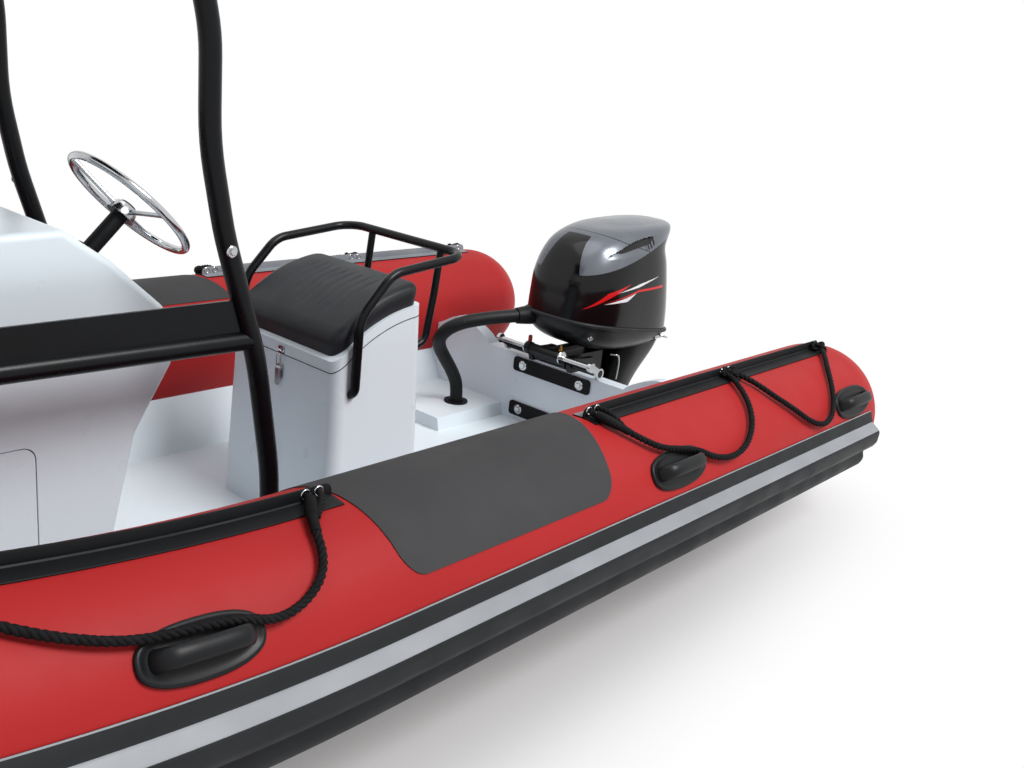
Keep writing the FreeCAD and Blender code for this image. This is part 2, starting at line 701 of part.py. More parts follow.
# Seat pod: a hollow tapered box whose top edge rises aft in a curve, with a hinged lid and a pad
def seat_outline(z):
    spread = SEAT_DRAFT * (SEAM_AFT_Z - z) / (SEAM_AFT_Z - FLOOR_Z)
    return SEAT_FRONT_X + spread, SEAT_FRONT_X - SEAT_LENGTH - spread, SEAT_HALF + spread


def seat_block(inset, z0, z1):
    wires = []
    for z in (z0, z1):
        front, aft, half = seat_outline(z)
        front, aft, half = front - inset, aft + inset, half - inset
        corner = 40 - inset * 0.8
        box = Part.makePlane(front - aft, 2 * half, V(aft, -half, z))
        solid = box.extrude(V(0, 0, 10))
        solid = solid.makeFillet(corner, [e for e in solid.Edges if abs(e.tangentAt(e.FirstParameter).z) > 0.9])
        wires.append(min(solid.Faces, key=lambda f: f.CenterOfMass.z).OuterWire)
    return Part.makeLoft(wires, True, True)


# The seam and the pad follow one arc in side view: flat aft and falling forward
SEAM_START = V(SEAT_FRONT_X - SEAT_LENGTH - 60, 0, SEAM_AFT_Z)
SEAM_MIDDLE = V(SEAT_FRONT_X - SEAT_LENGTH * 0.42, 0, SEAM_AFT_Z - 46)
SEAM_END = V(SEAT_FRONT_X + 60, 0, SEAM_FRONT_Z - 30)


def seam_z(x):
    circle = Part.Arc(SEAM_START, SEAM_MIDDLE, SEAM_END).toShape().Curve
    return circle.Center.z + math.sqrt(circle.Radius ** 2 - (x - circle.Center.x) ** 2)


def seam_tool(offset, high):
    lift = V(0, 0, offset)
    start, middle, end = SEAM_START + lift, SEAM_MIDDLE + lift, SEAM_END + lift
    front, aft = end.x, start.x
    arc = Part.Arc(start, middle, end).toShape()
    side = Part.makeLine(end, V(front, 0, high))
    top = Part.makeLine(V(front, 0, high), V(aft, 0, high))
    back = Part.makeLine(V(aft, 0, high), start)
    face = Part.Face(Part.Wire([arc, side, top, back])).translated(V(0, -500, 0))
    return face.extrude(V(0, 1000, 0))


LID_GAP = 0.3
HINGE_X = SEAT_FRONT_X - SEAT_LENGTH - PIN_HEIGHT
HINGE_Z = seam_z(SEAT_FRONT_X - SEAT_LENGTH) + LID_GAP / 2


def seat_parts():
    high = 1100.0
    outer = seat_block(0, FLOOR_Z, high)
    inner = seat_block(SEAT_WALL, FLOOR_Z - 1, high + 1)
    box = outer.cut(inner).cut(seam_tool(0, high + 100))
    lid = outer.common(seam_tool(LID_GAP, high)).cut(seam_tool(LID_GAP + LID_HEIGHT, high + 50))
    hollow = inner.common(seam_tool(LID_GAP - 10, high)).cut(seam_tool(LID_HEIGHT - 8, high + 50))
    lid = lid.cut(hollow)
    pad = seat_block(8, FLOOR_Z, high).common(seam_tool(LID_GAP + LID_HEIGHT + SEAT_GAP, high))
    pad = pad.cut(seam_tool(LID_GAP + LID_HEIGHT + SEAT_GAP + CUSHION_THICK, high + 50))
    for y in (-140, 140):
        pin = V(HINGE_X, y, HINGE_Z)
        lid = lid.fuse(hinge_half(pin, V(0, 0, 1), V(-1, 0, 0), 30, True))
        box = box.fuse(hinge_half(pin, V(0, 0, -1), V(-1, 0, 0), 30, False))
    return box.removeSplitter(), lid.removeSplitter(), pad


# Tubular rail round the seat back; its front ends turn in to the pod's sides and two posts meet its back
SEAT_POST_Y = 170.0


def seat_rail():
    y, r = SEAT_RAIL_Y, SEAT_RAIL_R
    side_x = SEAT_FRONT_X - 55
    inner = SEAT_HALF - 12
    points = [(side_x + 3, inner, 545), (side_x + 3, y, 545), (side_x, y, 790), (side_x - 120, y, 915),
              (-1255, y, 950), (-1255, -y, 950), (side_x - 120, -y, 915), (side_x, -y, 790), (side_x + 3, -y, 545),
              (side_x + 3, -inner, 545)]
    rail = bar(points, [30, 120, 110, 75, 75, 110, 120, 30], r)
    back_x = SEAT_FRONT_X - SEAT_LENGTH
    for side_y in (-SEAT_POST_Y, SEAT_POST_Y):
        line = [(-1256, side_y, 950), (-1240, side_y, 800), (-1215, side_y, 640), (back_x, side_y, 597)]
        post = bar(line, [300, 40], r - 2)
        rail = rail.fuse(post)
    rail = rail.cut(seat_block(-SEAT_GAP, FLOOR_Z, 1100))
    return largest(rail.removeSplitter())


# Console moulding: lofted side profile with rounded edges, open inside, and its windscreen and hatch
CONSOLE_PROFILE = ((60, FLOOR_Z), (-62, 600), (-160, 765), (-176, 840), (-137, 915), (-5, 1035),
                   (110, 1115), (480, 1100), (600, 1010), (650, 560), (690, FLOOR_Z))


def console_block(inset, low):
    profile = [V(x, 0, z) for x, z in CONSOLE_PROFILE]
    centre = V(260, 0, 500)
    moved = []
    for p in profile:
        direction = (p - centre).normalize()
        q = p - direction * inset
        if p.z == FLOOR_Z:
            q = V(p.x - math.copysign(inset, p.x - centre.x), 0, low)
        moved.append(q)
    half = CONSOLE_HALF - inset
    block = polygon([V(p.x, -half, p.z) for p in moved]).extrude(V(0, 2 * half, 0))
    return block


def console_shell():
    outer = console_block(0, FLOOR_Z)
    across = [e for e in outer.Edges if abs(e.tangentAt(e.FirstParameter).y) > 0.9 and e.CenterOfMass.z > FLOOR_Z + 5]
    outer = outer.makeFillet(28, across)
    rims = [e for e in outer.Edges if abs(abs(e.CenterOfMass.y) - CONSOLE_HALF) < 0.5 and e.BoundBox.ZMax > FLOOR_Z + 5]
    outer = outer.makeFillet(18, rims)
    inner = console_block(CONSOLE_WALL + 8, FLOOR_Z - 5)
    return outer.cut(inner)


# Steering wheel: rim, three spokes, hub and a shaft to the helm
def wheel_parts():
    t = math.radians(WHEEL_TILT_DEG)
    axis = V(-math.cos(t), 0, math.sin(t))
    centre = V(WHEEL_X, 0, WHEEL_Z)
    rim = Part.makeTorus(WHEEL_R, 11, V(0, 0, 0), V(0, 0, 1))
    wheel = rim
    for i in range(3):
        spoke = rod((25, 0, -22), (WHEEL_R - 2, 0, 0), 7)
        spoke.rotate(V(0, 0, 0), V(0, 0, 1), 90 + 120 * i)
        wheel = wheel.fuse(spoke)
    hub = Part.makeCone(40, 30, 34, V(0, 0, -40), V(0, 0, 1))
    wheel = wheel.fuse(hub).removeSplitter()
    turn = FreeCAD.Rotation(V(0, 0, 1), axis)
    wheel.Placement = FreeCAD.Placement(centre, turn)
    return wheel, axis, centre


def helm_hub(axis, centre):
    start = centre - axis * 40.3
    boss = Part.makeCylinder(22, HELM_REACH - 40, start, axis * -1)
    boss = boss.fuse(Part.makeCone(34, 60, 60, centre - axis * 160, axis * -1))
    return largest(boss.cut(console_block(-SEAT_GAP, FLOOR_Z)))


# T-top: two side frames, a top hoop and a canvas panel on it
LEG_AFT = ((-352, TTOP_Y, FLOOR_Z - 10), (-335, TTOP_Y, 500), (-283, TTOP_Y, 810), (-185, TTOP_Y, 1120),
           (-142, TTOP_Y, 1330), (-140, TTOP_Y, 1560), (-40, TTOP_Y - 40, TTOP_TOP_Z + 42))
LEG_FORE = ((760, TTOP_Y, FLOOR_Z - 10), (745, TTOP_Y, 700), (640, TTOP_Y, 1350),
            (560, TTOP_Y - 40, TTOP_TOP_Z + 42))
TOP_X0 = -420.0
TOP_X1 = 920.0
TOP_HALF = 640.0
BAR_Z = TTOP_TOP_Z + 42.0
BAR_X = (-40.0, 560.0)
BAR_R = 16.0
HOOP_BEND = 110.0
PANEL_Z = (884.0, 963.0)


def ttop_side():
    aft = bar(LEG_AFT, [900, 900, 900, 700, 500], TTOP_R)
    fore = bar(LEG_FORE, [1500, 1500], TTOP_R)
    rail = rod((-268, TTOP_Y, 858), (716, TTOP_Y, 875), SIDE_RAIL_R)
    low, high = PANEL_Z
    panel = prism_xz([(-260, low), (-232, high), (702, high), (715, low)], TTOP_Y - 4, TTOP_Y + 4)
    pieces = [fore, rail, panel]
    for x in (LEG_AFT[0][0], LEG_FORE[0][0]):
        pieces.append(Part.makeCylinder(52, 8, V(x, TTOP_Y, FLOOR_Z), V(0, 0, 1)))
    frame = aft.fuse(pieces)
    frame = frame.cut(Part.makeBox(3000, 400, 200, V(-1000, TTOP_Y - 200, FLOOR_Z - 200)))
    for x in BAR_X:
        frame = frame.cut(rod((x, -TOP_HALF, BAR_Z), (x, TOP_HALF, BAR_Z), BAR_R + SEAT_GAP))
    return largest(frame.removeSplitter())


def ttop_top():
    x0, x1, half, z = TOP_X0, TOP_X1, TOP_HALF, BAR_Z
    port = bar([(x0, 0, z), (x0, half, z), (x1, half, z), (x1, 0, z)], [HOOP_BEND, HOOP_BEND], RAIL_R)
    bars = [rod((x, -half, z), (x, half, z), BAR_R) for x in BAR_X]
    return port.fuse([mirrored(port), *bars]).removeSplitter()


# Canvas panel over the hoop, drawn as a thin closed slab
CANVAS_THICK = 6.0


def canopy():
    x0, x1, half = TOP_X0 - 12, TOP_X1 + 12, TOP_HALF + 12
    z = BAR_Z + RAIL_R + SEAT_GAP
    slab = Part.makeBox(x1 - x0, 2 * half, CANVAS_THICK, V(x0, -half, z))
    return slab.makeFillet(115, [e for e in slab.Edges if abs(e.tangentAt(e.FirstParameter).z) > 0.9])


# Windscreen: a bent clear sheet standing on the front of the console top
def windscreen():
    outer = Part.makeCylinder(SCREEN_R, 330, V(0, 0, -40), V(0, 0, 1))
    inner = Part.makeCylinder(SCREEN_R - SCREEN_THICK, 330, V(0, 0, -40), V(0, 0, 1))
    sheet = outer.cut(inner).common(Part.makeBox(SCREEN_R, 2 * SCREEN_HALF, 330, V(0, -SCREEN_HALF, -40)))
    sheet.translate(V(-SCREEN_R, 0, 0))
    sheet.rotate(V(0, 0, 0), V(0, 1, 0), -SCREEN_RAKE_DEG)
    sheet.translate(V(SCREEN_X, 0, SCREEN_Z))
    return largest(sheet.cut(console_block(-SEAT_GAP, FLOOR_Z)))


# Door in the port side of the console
def door_block(grow, y0, y1):
    block = Part.makeBox(DOOR_X1 - DOOR_X0 + 2 * grow, y1 - y0, DOOR_Z1 - DOOR_Z0 + 2 * grow,
                         V(DOOR_X0 - grow, y0, DOOR_Z0 - grow))
    return block.makeFillet(30 + grow, [e for e in block.Edges if abs(e.tangentAt(e.FirstParameter).y) > 0.9])


def door_hinges(moving):
    halves = []
    for z in (DOOR_Z0 + 90, DOOR_Z1 - 90):
        pin = V(DOOR_X1 + DOOR_GAP / 2, CONSOLE_HALF + PIN_HEIGHT, z)
        halves.append(hinge_half(pin, V(-1, 0, 0) if moving else V(1, 0, 0), V(0, 1, 0), 24, moving))
    return halves


def console_parts():
    shell = console_shell().cut(door_block(DOOR_GAP, CONSOLE_HALF - 100, CONSOLE_HALF + 50)).fuse(door_hinges(False))
    door = door_block(0, CONSOLE_HALF - DOOR_THICK, CONSOLE_HALF).fuse(door_hinges(True))
    return shell.removeSplitter(), door.removeSplitter()


# A smooth closed outline, rounder or squarer with its power, leaning fore and aft by its slope
def oval_wire(front, rear, half, z, slope, power):
    centre, reach = 0.5 * (front + rear), 0.5 * (front - rear)
    points = []
    for i in range(24):
        t = 2 * math.pi * (i + 0.5) / 24
        c, s = math.cos(t), math.sin(t)
        x = centre + reach * math.copysign(abs(c) ** (2 / power), c)
        y = half * math.copysign(abs(s) ** (2 / power), s)
        points.append(V(x, y, z + slope * (x - centre)))
    curve = Part.BSplineCurve()
    curve.interpolate(Points=points, PeriodicFlag=True)
    return Part.Wire(curve.toShape())


def loft(sections):
    wires = []
    for front, rear, half, z, slope, power in sections:
        wires.append(oval_wire(STEER_X + front, STEER_X + rear, half, z, slope, power))
    return Part.makeLoft(wires, True, False)


# Outboard covers: the cowl, its lower pan, the driveshaft leg and the gearcase strut, each section given
# as (front and rear from the steering axis, half width, height, slope, power)
COWL = ((345, -357, 214, PAN_SEAM_Z + SEAT_GAP, PAN_SEAM_SLOPE, 3.0), (333, -339, 219, 619, 0.138, 3.0),
        (320, -315, 217, 717, 0.097, 3.0), (287, -300, 206, 808, 0.073, 2.9), (232, -294, 185, 874, 0.072, 2.8),
        (141, -357, 150, 937, -0.021, 2.6), (20, -311, 90, 954, -0.035, 2.4))
PAN = ((345, -357, 214, PAN_SEAM_Z, PAN_SEAM_SLOPE, 3.0), (316, -350, 205, 490, 0.08, 3.0),
       (240, -348, 185, 458, 0.02, 2.9), (140, -350, 155, PAN_Z, 0.0, 2.8))
LEG = ((-56, -350, 150, PAN_Z, 0.0, 2.8), (-58, -335, 138, 385, 0.0, 2.7), (-60, -305, 112, 315, 0.0, 2.6),
       (-62, -255, 78, 195, 0.0, 2.4), (-62, -242, 60, 60, 0.0, 2.3), (-58, -262, 48, -140, 0.0, 2.2),
       (-46, -270, 44, PLATE_Z + 8, 0.0, 2.2))
GEARCASE_STRUT = ((-44, -272, 43, PLATE_Z, 0.0, 2.2), (-32, -270, 34, -380, 0.0, 2.2),
                  (-25, -260, 26, PROP_Z, 0.0, 2.2))
SWIVEL_R = 38.0
SWIVEL_LOW_Z = 100.0
YOKE_R = 42.0
YOKE_HEIGHT = 36.0
YOKE_REACH = 110.0


def motor_leg():
    leg = loft(LEG)
    low = SWIVEL_LOW_Z - SEAT_GAP - YOKE_HEIGHT
    yoke = Part.makeCylinder(YOKE_R, YOKE_HEIGHT, V(STEER_X, 0, low))
    arm = Part.makeBox(YOKE_REACH, 70, YOKE_HEIGHT, V(STEER_X - YOKE_REACH, -35, low))
    return leg.fuse([yoke, arm]).removeSplitter()


def lower_unit():
    strut = loft(GEARCASE_STRUT)
    end_x = STEER_X - 260
    outline = [(38, 0), (28, 22), (-10, 43), (-70, 53), (-150, 55), (-260, 49)]
    curve = Part.BSplineCurve()
    curve.interpolate([V(STEER_X + x, 0, r) for x, r in outline])
    end = Part.makeLine(V(end_x, 0, 49), V(end_x, 0, 0))
    axis = Part.makeLine(V(end_x, 0, 0), V(STEER_X + 38, 0, 0))
    torpedo = Part.Face(Part.Wire([curve.toShape(), end, axis])).revolve(V(0, 0, 0), V(1, 0, 0), 360)
    torpedo.translate(V(0, 0, PROP_Z))
    shaft = rod((end_x, 0, PROP_Z), (PROP_X - PROP_HUB_HALF + 24, 0, PROP_Z), PROP_SHAFT_R)
    low = PROP_Z - 20
    fin = [(-40, low), (-242, low), (-270, low - 158), (-260, low - 180), (-182, low - 180)]
    skeg = prism_xz([(STEER_X + x, z) for x, z in fin], -5, 5)
    edge = [(0, 24), (-70, 84), (-130, 100), (-408, 108), (-438, 84), (-446, 0)]
    edge += [(x, -y) for x, y in reversed(edge[:-1])]
    plate = prism_xy([(STEER_X + x, y) for x, y in edge], PLATE_Z, PLATE_Z + 8)
    return strut.fuse([torpedo, skeg, plate, shaft]).removeSplitter()


# Three-blade propeller: every blade is lofted through oval sections set at the screw's pitch angle
BLADE = ((36, 84, 15, 0), (70, 116, 11, 4), (105, 134, 8, 12), (138, 122, 6, 24), (160, 84, 4, 38),
         (PROP_R, 30, 3, 52))


def blade_section(r, chord, thick, sweep):
    pitch = math.atan2(PROP_PITCH, 2 * math.pi * r)
    along = V(math.sin(pitch), math.cos(pitch), 0)
    across = V(math.cos(pitch), -math.sin(pitch), 0)
    centre = V(-0.25 * sweep, 0, r) + along * sweep * 0.4
    points = []
    for i in range(16):
        t = 2 * math.pi * (i + 0.5) / 16
        points.append(centre + along * (chord / 2 * math.cos(t)) + across * (thick / 2 * math.sin(t)))
    curve = Part.BSplineCurve()
    curve.interpolate(Points=points, PeriodicFlag=True)
    return Part.Wire(curve.toShape())


def propeller():
    blade = Part.makeLoft([blade_section(*row) for row in BLADE], True, True)
    screw = Part.makeCone(49, 42, 2 * PROP_HUB_HALF, V(PROP_HUB_HALF, 0, 0), V(-1, 0, 0))
    for i in range(3):
        copy = blade.copy()
        copy.rotate(V(0, 0, 0), V(1, 0, 0), 120 * i)
        screw = screw.fuse(copy)
    screw = screw.cut(rod((-100, 0, 0), (100, 0, 0), PROP_SHAFT_R + RUNNING_CLEARANCE))
    screw = screw.cut(rod((-100, 0, 0), (28 - PROP_HUB_HALF, 0, 0), 30))
    screw.translate(V(PROP_X, 0, PROP_Z))
    return screw


# Clamp bracket on the transom, with the tilt tube's bosses above it
BRACKET_Y0 = 92.0
BRACKET_Y1 = 114.0
BOSS_R = 24.0


def clamp_bracket():
    halves = []
    outline = [(TILT_X, 413), (-2290, 404), (-2352, 330), (-2336, 92), (-2292, 64), (-2212, 64), (-2212, NOTCH_Z - 10),
               (TILT_X + 12, NOTCH_Z - 10), (TILT_X + 22, TILT_Z)]
    for sign in (1, -1):
        y0, y1 = sorted((sign * BRACKET_Y0, sign * BRACKET_Y1))
        side = prism_xz(outline, y0, y1)
        upper = side.common(space(-BEYOND, BEYOND, NOTCH_Z + SEAT_GAP, BEYOND))
        lower = side.common(space(-BEYOND, TRANSOM_AFT, -BEYOND, NOTCH_Z + SEAT_GAP))
        boss = Part.makeCylinder(BOSS_R, y1 - y0, V(TILT_X, y0, TILT_Z), V(0, 1, 0))
        f0, f1 = sorted((sign * BRACKET_Y0, sign * 192))
        foot = Part.makeBox(14, f1 - f0, 246, V(TRANSOM_AFT - 14, f0, 68))
        half = upper.fuse([lower, boss, foot])
        half = half.cut(rod((TILT_X, -400, TILT_Z), (TILT_X, 400, TILT_Z), TILT_SHAFT_R + RUNNING_CLEARANCE))
        halves.append(largest(half.removeSplitter()))
    return Part.makeCompound(halves)


# Swivel bracket: the tilt tube, the steering tube and the web between them
def swivel_bracket():
    shaft = rod((TILT_X, -ROD_HALF, TILT_Z), (TILT_X, ROD_HALF, TILT_Z), TILT_SHAFT_R)
    knuckle = rod((TILT_X, -84, TILT_Z), (TILT_X, 84, TILT_Z), BOSS_R)
    web = prism_xz([(TILT_X, 411), (STEER_X + 10, 404), (STEER_X + 10, 130), (STEER_X + 42, 130), (-2352, 290), (-2268, 350),
                    (-2227, 364), (TILT_X, 368)], -62, 62)
    tube = Part.makeCylinder(SWIVEL_R, PAN_Z - SEAT_GAP - SWIVEL_LOW_Z, V(STEER_X, 0, SWIVEL_LOW_Z))
    return shaft.fuse([knuckle, web, tube]).removeSplitter()


# Steering: a fixed rod on two arms, the cylinder that slides along it, and the motor's tiller arm
def steering_rod():
    bar_ = rod((RAM_X, -ROD_HALF, RAM_Z), (RAM_X, ROD_HALF, RAM_Z), ROD_R)
    arms = []
    for sign in (1, -1):
        y0, y1 = sorted((sign * (ROD_HALF - 14), sign * ROD_HALF))
        ends = [Part.makeCylinder(20, 14, V(RAM_X, y0, RAM_Z), V(0, 1, 0))]
        ends.append(Part.makeCylinder(23, 14, V(TILT_X, y0, TILT_Z), V(0, 1, 0)))
        edge = [(TILT_X, TILT_Z - 15), (RAM_X, RAM_Z - 15), (RAM_X, RAM_Z + 15), (TILT_X, TILT_Z + 18)]
        ends.append(prism_xz(edge, y0, y1))
        arm = ends[0].fuse(ends[1:])
        arm = arm.cut(rod((TILT_X, -400, TILT_Z), (TILT_X, 400, TILT_Z), TILT_SHAFT_R))
        arms.append(arm)
    return bar_.fuse(arms).removeSplitter()


LUG_REACH = 66.0
LUG_LIFT = 6.0


def steering_ram():
    half = RAM_LENGTH / 2
    body = rod((RAM_X, -half, RAM_Z), (RAM_X, half, RAM_Z), RAM_R - 3)
    for y in (-half, half - 26):
        body = body.fuse(rod((RAM_X, y, RAM_Z), (RAM_X, y + 26, RAM_Z), RAM_R))
    lug = Part.makeBox(LUG_REACH, 36, 9, V(RAM_X - LUG_REACH, -18, PAN_Z + LUG_LIFT))
    body = body.fuse(lug)
    body = body.cut(rod((RAM_X, -400, RAM_Z), (RAM_X, 400, RAM_Z), ROD_R + RUNNING_CLEARANCE))
    return body.removeSplitter()


def tiller_arm():
    tip = RAM_X - RAM_R - 10
    return Part.makeBox(tip - STEER_X - 44, 44, 13, V(STEER_X + 44, -22, PAN_Z - 13))


# Rigging hose from a flange on the starboard step to the front of the pan
HOSE_R = 28.0
HOSE = ((-1985, -375, STEP_Z + 12.3), (-1985, -375, 190), (-1944, -375, 262), (-1880, -367, 336),
        (-1822, -348, 396), (-1786, -316, 450), (-1794, -276, 496), (-1840, -240, 524),
        (-1904, -206, 538), (-1965, -174, 546), (-2020, -147, 551), (-2068, -128, 554))
FLANGE_R = 52.0
GROMMET_R = 36.0


def rigging_hose():
    points = [V(*p) for p in HOSE]
    return bar(HOSE, soft_radii(points), HOSE_R)


# The pan has a grommet that takes the hose's end
def motor_pan():
    end = V(*HOSE[-1])
    into = (end - V(*HOSE[-2])).normalize()
    grommet = Part.makeCylinder(GROMMET_R, 100, end + into * SEAT_GAP, into)
    middle = STEER_X + 0.5 * (PAN[0][0] + PAN[0][1])
    below = []
    for x in (middle - TUBE_R * 2, middle + TUBE_R * 2):
        below.append((x, PAN_SEAM_Z + PAN_SEAM_SLOPE * (x - middle)))
    below += [(x, PAN_Z) for x, z in reversed(below)]
    grommet = grommet.common(prism_xz(below, -TUBE_R, TUBE_R))
    return loft(PAN).fuse(grommet).removeSplitter()


def hose_flange():
    x, y, z = HOSE[0]
    base = Part.makeCylinder(FLANGE_R, 7, V(x, y, STEP_Z), V(0, 0, 1))
    collar = Part.makeCylinder(HOSE_R + 5, z - SEAT_GAP - STEP_Z, V(x, y, STEP_Z), V(0, 0, 1))
    return base.fuse(collar).removeSplitter()


# Stainless eyes: one on the stem and two on the transom, each a plate with a round hole
def bow_eye(hull):
    x = EYE_X
    slope = math.atan2(keel_z(x + 5) - keel_z(x - 5), 10)
    normal = V(math.sin(slope), 0, -math.cos(slope))
    hole = V(x, 0, keel_z(x)) + normal * 36
    ring = Part.makeCylinder(30, EYE_THICK, hole - V(0, EYE_THICK / 2, 0), V(0, 1, 0))
    along = V(math.cos(slope), 0, math.sin(slope))
    foot = polygon([hole + along * a + normal * b - V(0, EYE_THICK / 2, 0)
                    for a, b in ((-44, -60), (44, -60), (29, 0), (-29, 0))]).extrude(V(0, EYE_THICK, 0))
    eye = ring.fuse(foot).cut(Part.makeCylinder(BOW_EYE_R, 60, hole - V(0, 30, 0), V(0, 1, 0)))
    return largest(eye.cut(hull)), hole


def tow_eyes():
    eyes = []
    for y in (-TOW_EYE_Y, TOW_EYE_Y):
        x = TRANSOM_AFT - TOW_EYE_REACH
        low, high = TOW_EYE_Z - EYE_THICK / 2, TOW_EYE_Z + EYE_THICK / 2
        ring = Part.makeCylinder(26, EYE_THICK, V(x, y, low))
        foot = prism_xy([(x, y - 26), (TRANSOM_AFT, y - 40), (TRANSOM_AFT, y + 40), (x, y + 26)], low, high)
        eyes.append(ring.fuse(foot).cut(Part.makeCylinder(TOW_EYE_R, 60, V(x, y, TOW_EYE_Z - 30))))
    return Part.makeCompound(eyes)


def build():
    os.makedirs("parts", exist_ok=True)
    print("seat hinge", HINGE_X, HINGE_Z)
    print("hatch hinge", on_bow_deck(LOCKER_X1 + HATCH_GAP / 2, 0, PIN_HEIGHT))
    port = collar_tube(S_RISE, 0)
    save("collar_port", port)
    save("collar_starboard", mirrored(port))
    save("collar_bow", collar_bow())
    hull, liner, bow_deck = split_body()
    hull, bow_deck, hatch = bow_parts(hull, bow_deck)
    save("hull", hull)
    save("deck_liner", liner)
    save("bow_deck", bow_deck)
    save("bow_hatch", hatch)
    save("transom", transom_plate())
    save("transom_plates", backing_plates())
    side, bow = rub_strakes()
    save("rub_strake_port", side)
    save("rub_strake_starboard", mirrored(side))
    save("rub_strake_bow", bow)
    fin = fins()
    save("lifeline_fins_port", fin)
    save("lifeline_fins_starboard", mirrored(fin))
    patch = wear_patch()
    save("wear_patch_port", patch)
    save("wear_patch_starboard", mirrored(patch))
    handles = grab_handles()
    save("grab_handles_port", handles)
    save("grab_handles_starboard", mirrored(handles))
    for name, table in (("fore", ROPE_FORE), ("mid", ROPE_MID), ("aft", ROPE_AFT)):
        line = rope(table)
        save("lifeline_" + name + "_port", line)
        save("lifeline_" + name + "_starboard", mirrored(line))
    box, lid, pad = seat_parts()
    save("seat_pod", box)
    save("seat_lid", lid)
    save("seat_cushion", pad)
    save("seat_rail", seat_rail())
    console, door = console_parts()
    save("console", console)
    save("console_door", door)
    save("windscreen", windscreen())
    wheel, axis, centre = wheel_parts()
    save("steering_wheel", wheel)
    save("helm_hub", helm_hub(axis, centre))
    frame = ttop_side()
    save("ttop_frame_port", frame)
    save("ttop_frame_starboard", mirrored(frame))
    save("ttop_hoop", ttop_top())
    save("ttop_canopy", canopy())
    save("motor_cowl", loft(COWL))
    save("motor_pan", motor_pan())
    save("motor_leg", motor_leg())
    save("motor_lower_unit", lower_unit())
    save("propeller", propeller())
    save("clamp_bracket", clamp_bracket())
    save("swivel_bracket", swivel_bracket())
    save("steering_rod", steering_rod())
    save("steering_ram", steering_ram())
    save("tiller_arm", tiller_arm())
    save("rigging_hose", rigging_hose())
    save("hose_flange", hose_flange())
    eye, hole = bow_eye(hull)
    print("bow eye centre", hole)
    save("bow_eye", eye)
    save("tow_eyes", tow_eyes())


build()
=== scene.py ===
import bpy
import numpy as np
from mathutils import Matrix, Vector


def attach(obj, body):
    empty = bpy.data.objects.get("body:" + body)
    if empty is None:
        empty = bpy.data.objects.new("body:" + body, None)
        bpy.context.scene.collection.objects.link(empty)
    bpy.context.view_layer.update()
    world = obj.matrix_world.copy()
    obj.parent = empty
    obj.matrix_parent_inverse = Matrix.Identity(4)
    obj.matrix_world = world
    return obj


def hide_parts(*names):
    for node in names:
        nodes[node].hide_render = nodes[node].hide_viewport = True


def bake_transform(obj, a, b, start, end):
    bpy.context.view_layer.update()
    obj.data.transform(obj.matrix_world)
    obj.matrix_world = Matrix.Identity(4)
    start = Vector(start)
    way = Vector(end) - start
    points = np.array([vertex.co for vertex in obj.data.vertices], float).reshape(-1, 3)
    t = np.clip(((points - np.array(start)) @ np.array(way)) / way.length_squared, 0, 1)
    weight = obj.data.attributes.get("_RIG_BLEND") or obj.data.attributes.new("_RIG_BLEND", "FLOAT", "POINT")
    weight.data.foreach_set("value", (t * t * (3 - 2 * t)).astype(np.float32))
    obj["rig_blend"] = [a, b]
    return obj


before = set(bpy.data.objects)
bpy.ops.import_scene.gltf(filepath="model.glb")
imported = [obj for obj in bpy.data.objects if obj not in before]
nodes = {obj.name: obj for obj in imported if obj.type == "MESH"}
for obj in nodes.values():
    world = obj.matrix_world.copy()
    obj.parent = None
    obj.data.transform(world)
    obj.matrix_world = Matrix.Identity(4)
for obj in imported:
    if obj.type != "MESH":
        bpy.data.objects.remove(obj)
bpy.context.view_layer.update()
import math
import bmesh
import bpy
from mathutils import Matrix, Vector


# The view. The camera stands over the port side amidships and looks aft and across, tilted a little.
# Its place and lens come from the collar's edges, the transom and the seat in the photograph.
view_yaw = math.radians(50.4)
view_pitch = math.radians(17.5)
view_roll = math.radians(-6.293)
ahead = Vector((-math.sin(view_yaw) * math.cos(view_pitch), -math.cos(view_yaw) * math.cos(view_pitch),
                -math.sin(view_pitch)))
level = ahead.cross(Vector((0, 0, 1))).normalized()
below = ahead.cross(level)
across = level * math.cos(view_roll) + below * math.sin(view_roll)
down = below * math.cos(view_roll) - level * math.sin(view_roll)
camera_data = bpy.data.cameras.new("photo_view")
camera_data.sensor_width = 36.0
camera_data.lens = 1040.85 / 1024 * 36.0
camera_data.clip_end = 200
camera = bpy.data.objects.new("photo_view", camera_data)
camera.matrix_world = Matrix((
    (across.x, -down.x, -ahead.x, 1.193), (across.y, -down.y, -ahead.y, 2.562),
    (across.z, -down.z, -ahead.z, 1.584), (0, 0, 0, 1)))
bpy.context.scene.collection.objects.link(camera)
bpy.context.scene.camera = camera
bpy.context.scene.view_settings.view_transform = "Standard"


# Studio: a floor at the waterline that keeps the boat's soft shadow, adds painted shade by darkening its own colour
# near the boat, and turns plain white away from it.
# One broad lamp stands aft on the port side and a weak one ahead of the bow.
def seen_directly(tree):
    path = tree.nodes.new("ShaderNodeLightPath")
    camera_or_gloss = tree.nodes.new("ShaderNodeMath")
    camera_or_gloss.operation = "MAXIMUM"
    tree.links.new(path.outputs["Is Camera Ray"], camera_or_gloss.inputs[0])
    tree.links.new(path.outputs["Is Glossy Ray"], camera_or_gloss.inputs[1])
    either = tree.nodes.new("ShaderNodeMath")
    either.operation = "MAXIMUM"
    tree.links.new(camera_or_gloss.outputs[0], either.inputs[0])
    tree.links.new(path.outputs["Is Transmission Ray"], either.inputs[1])
    return either.outputs[0]


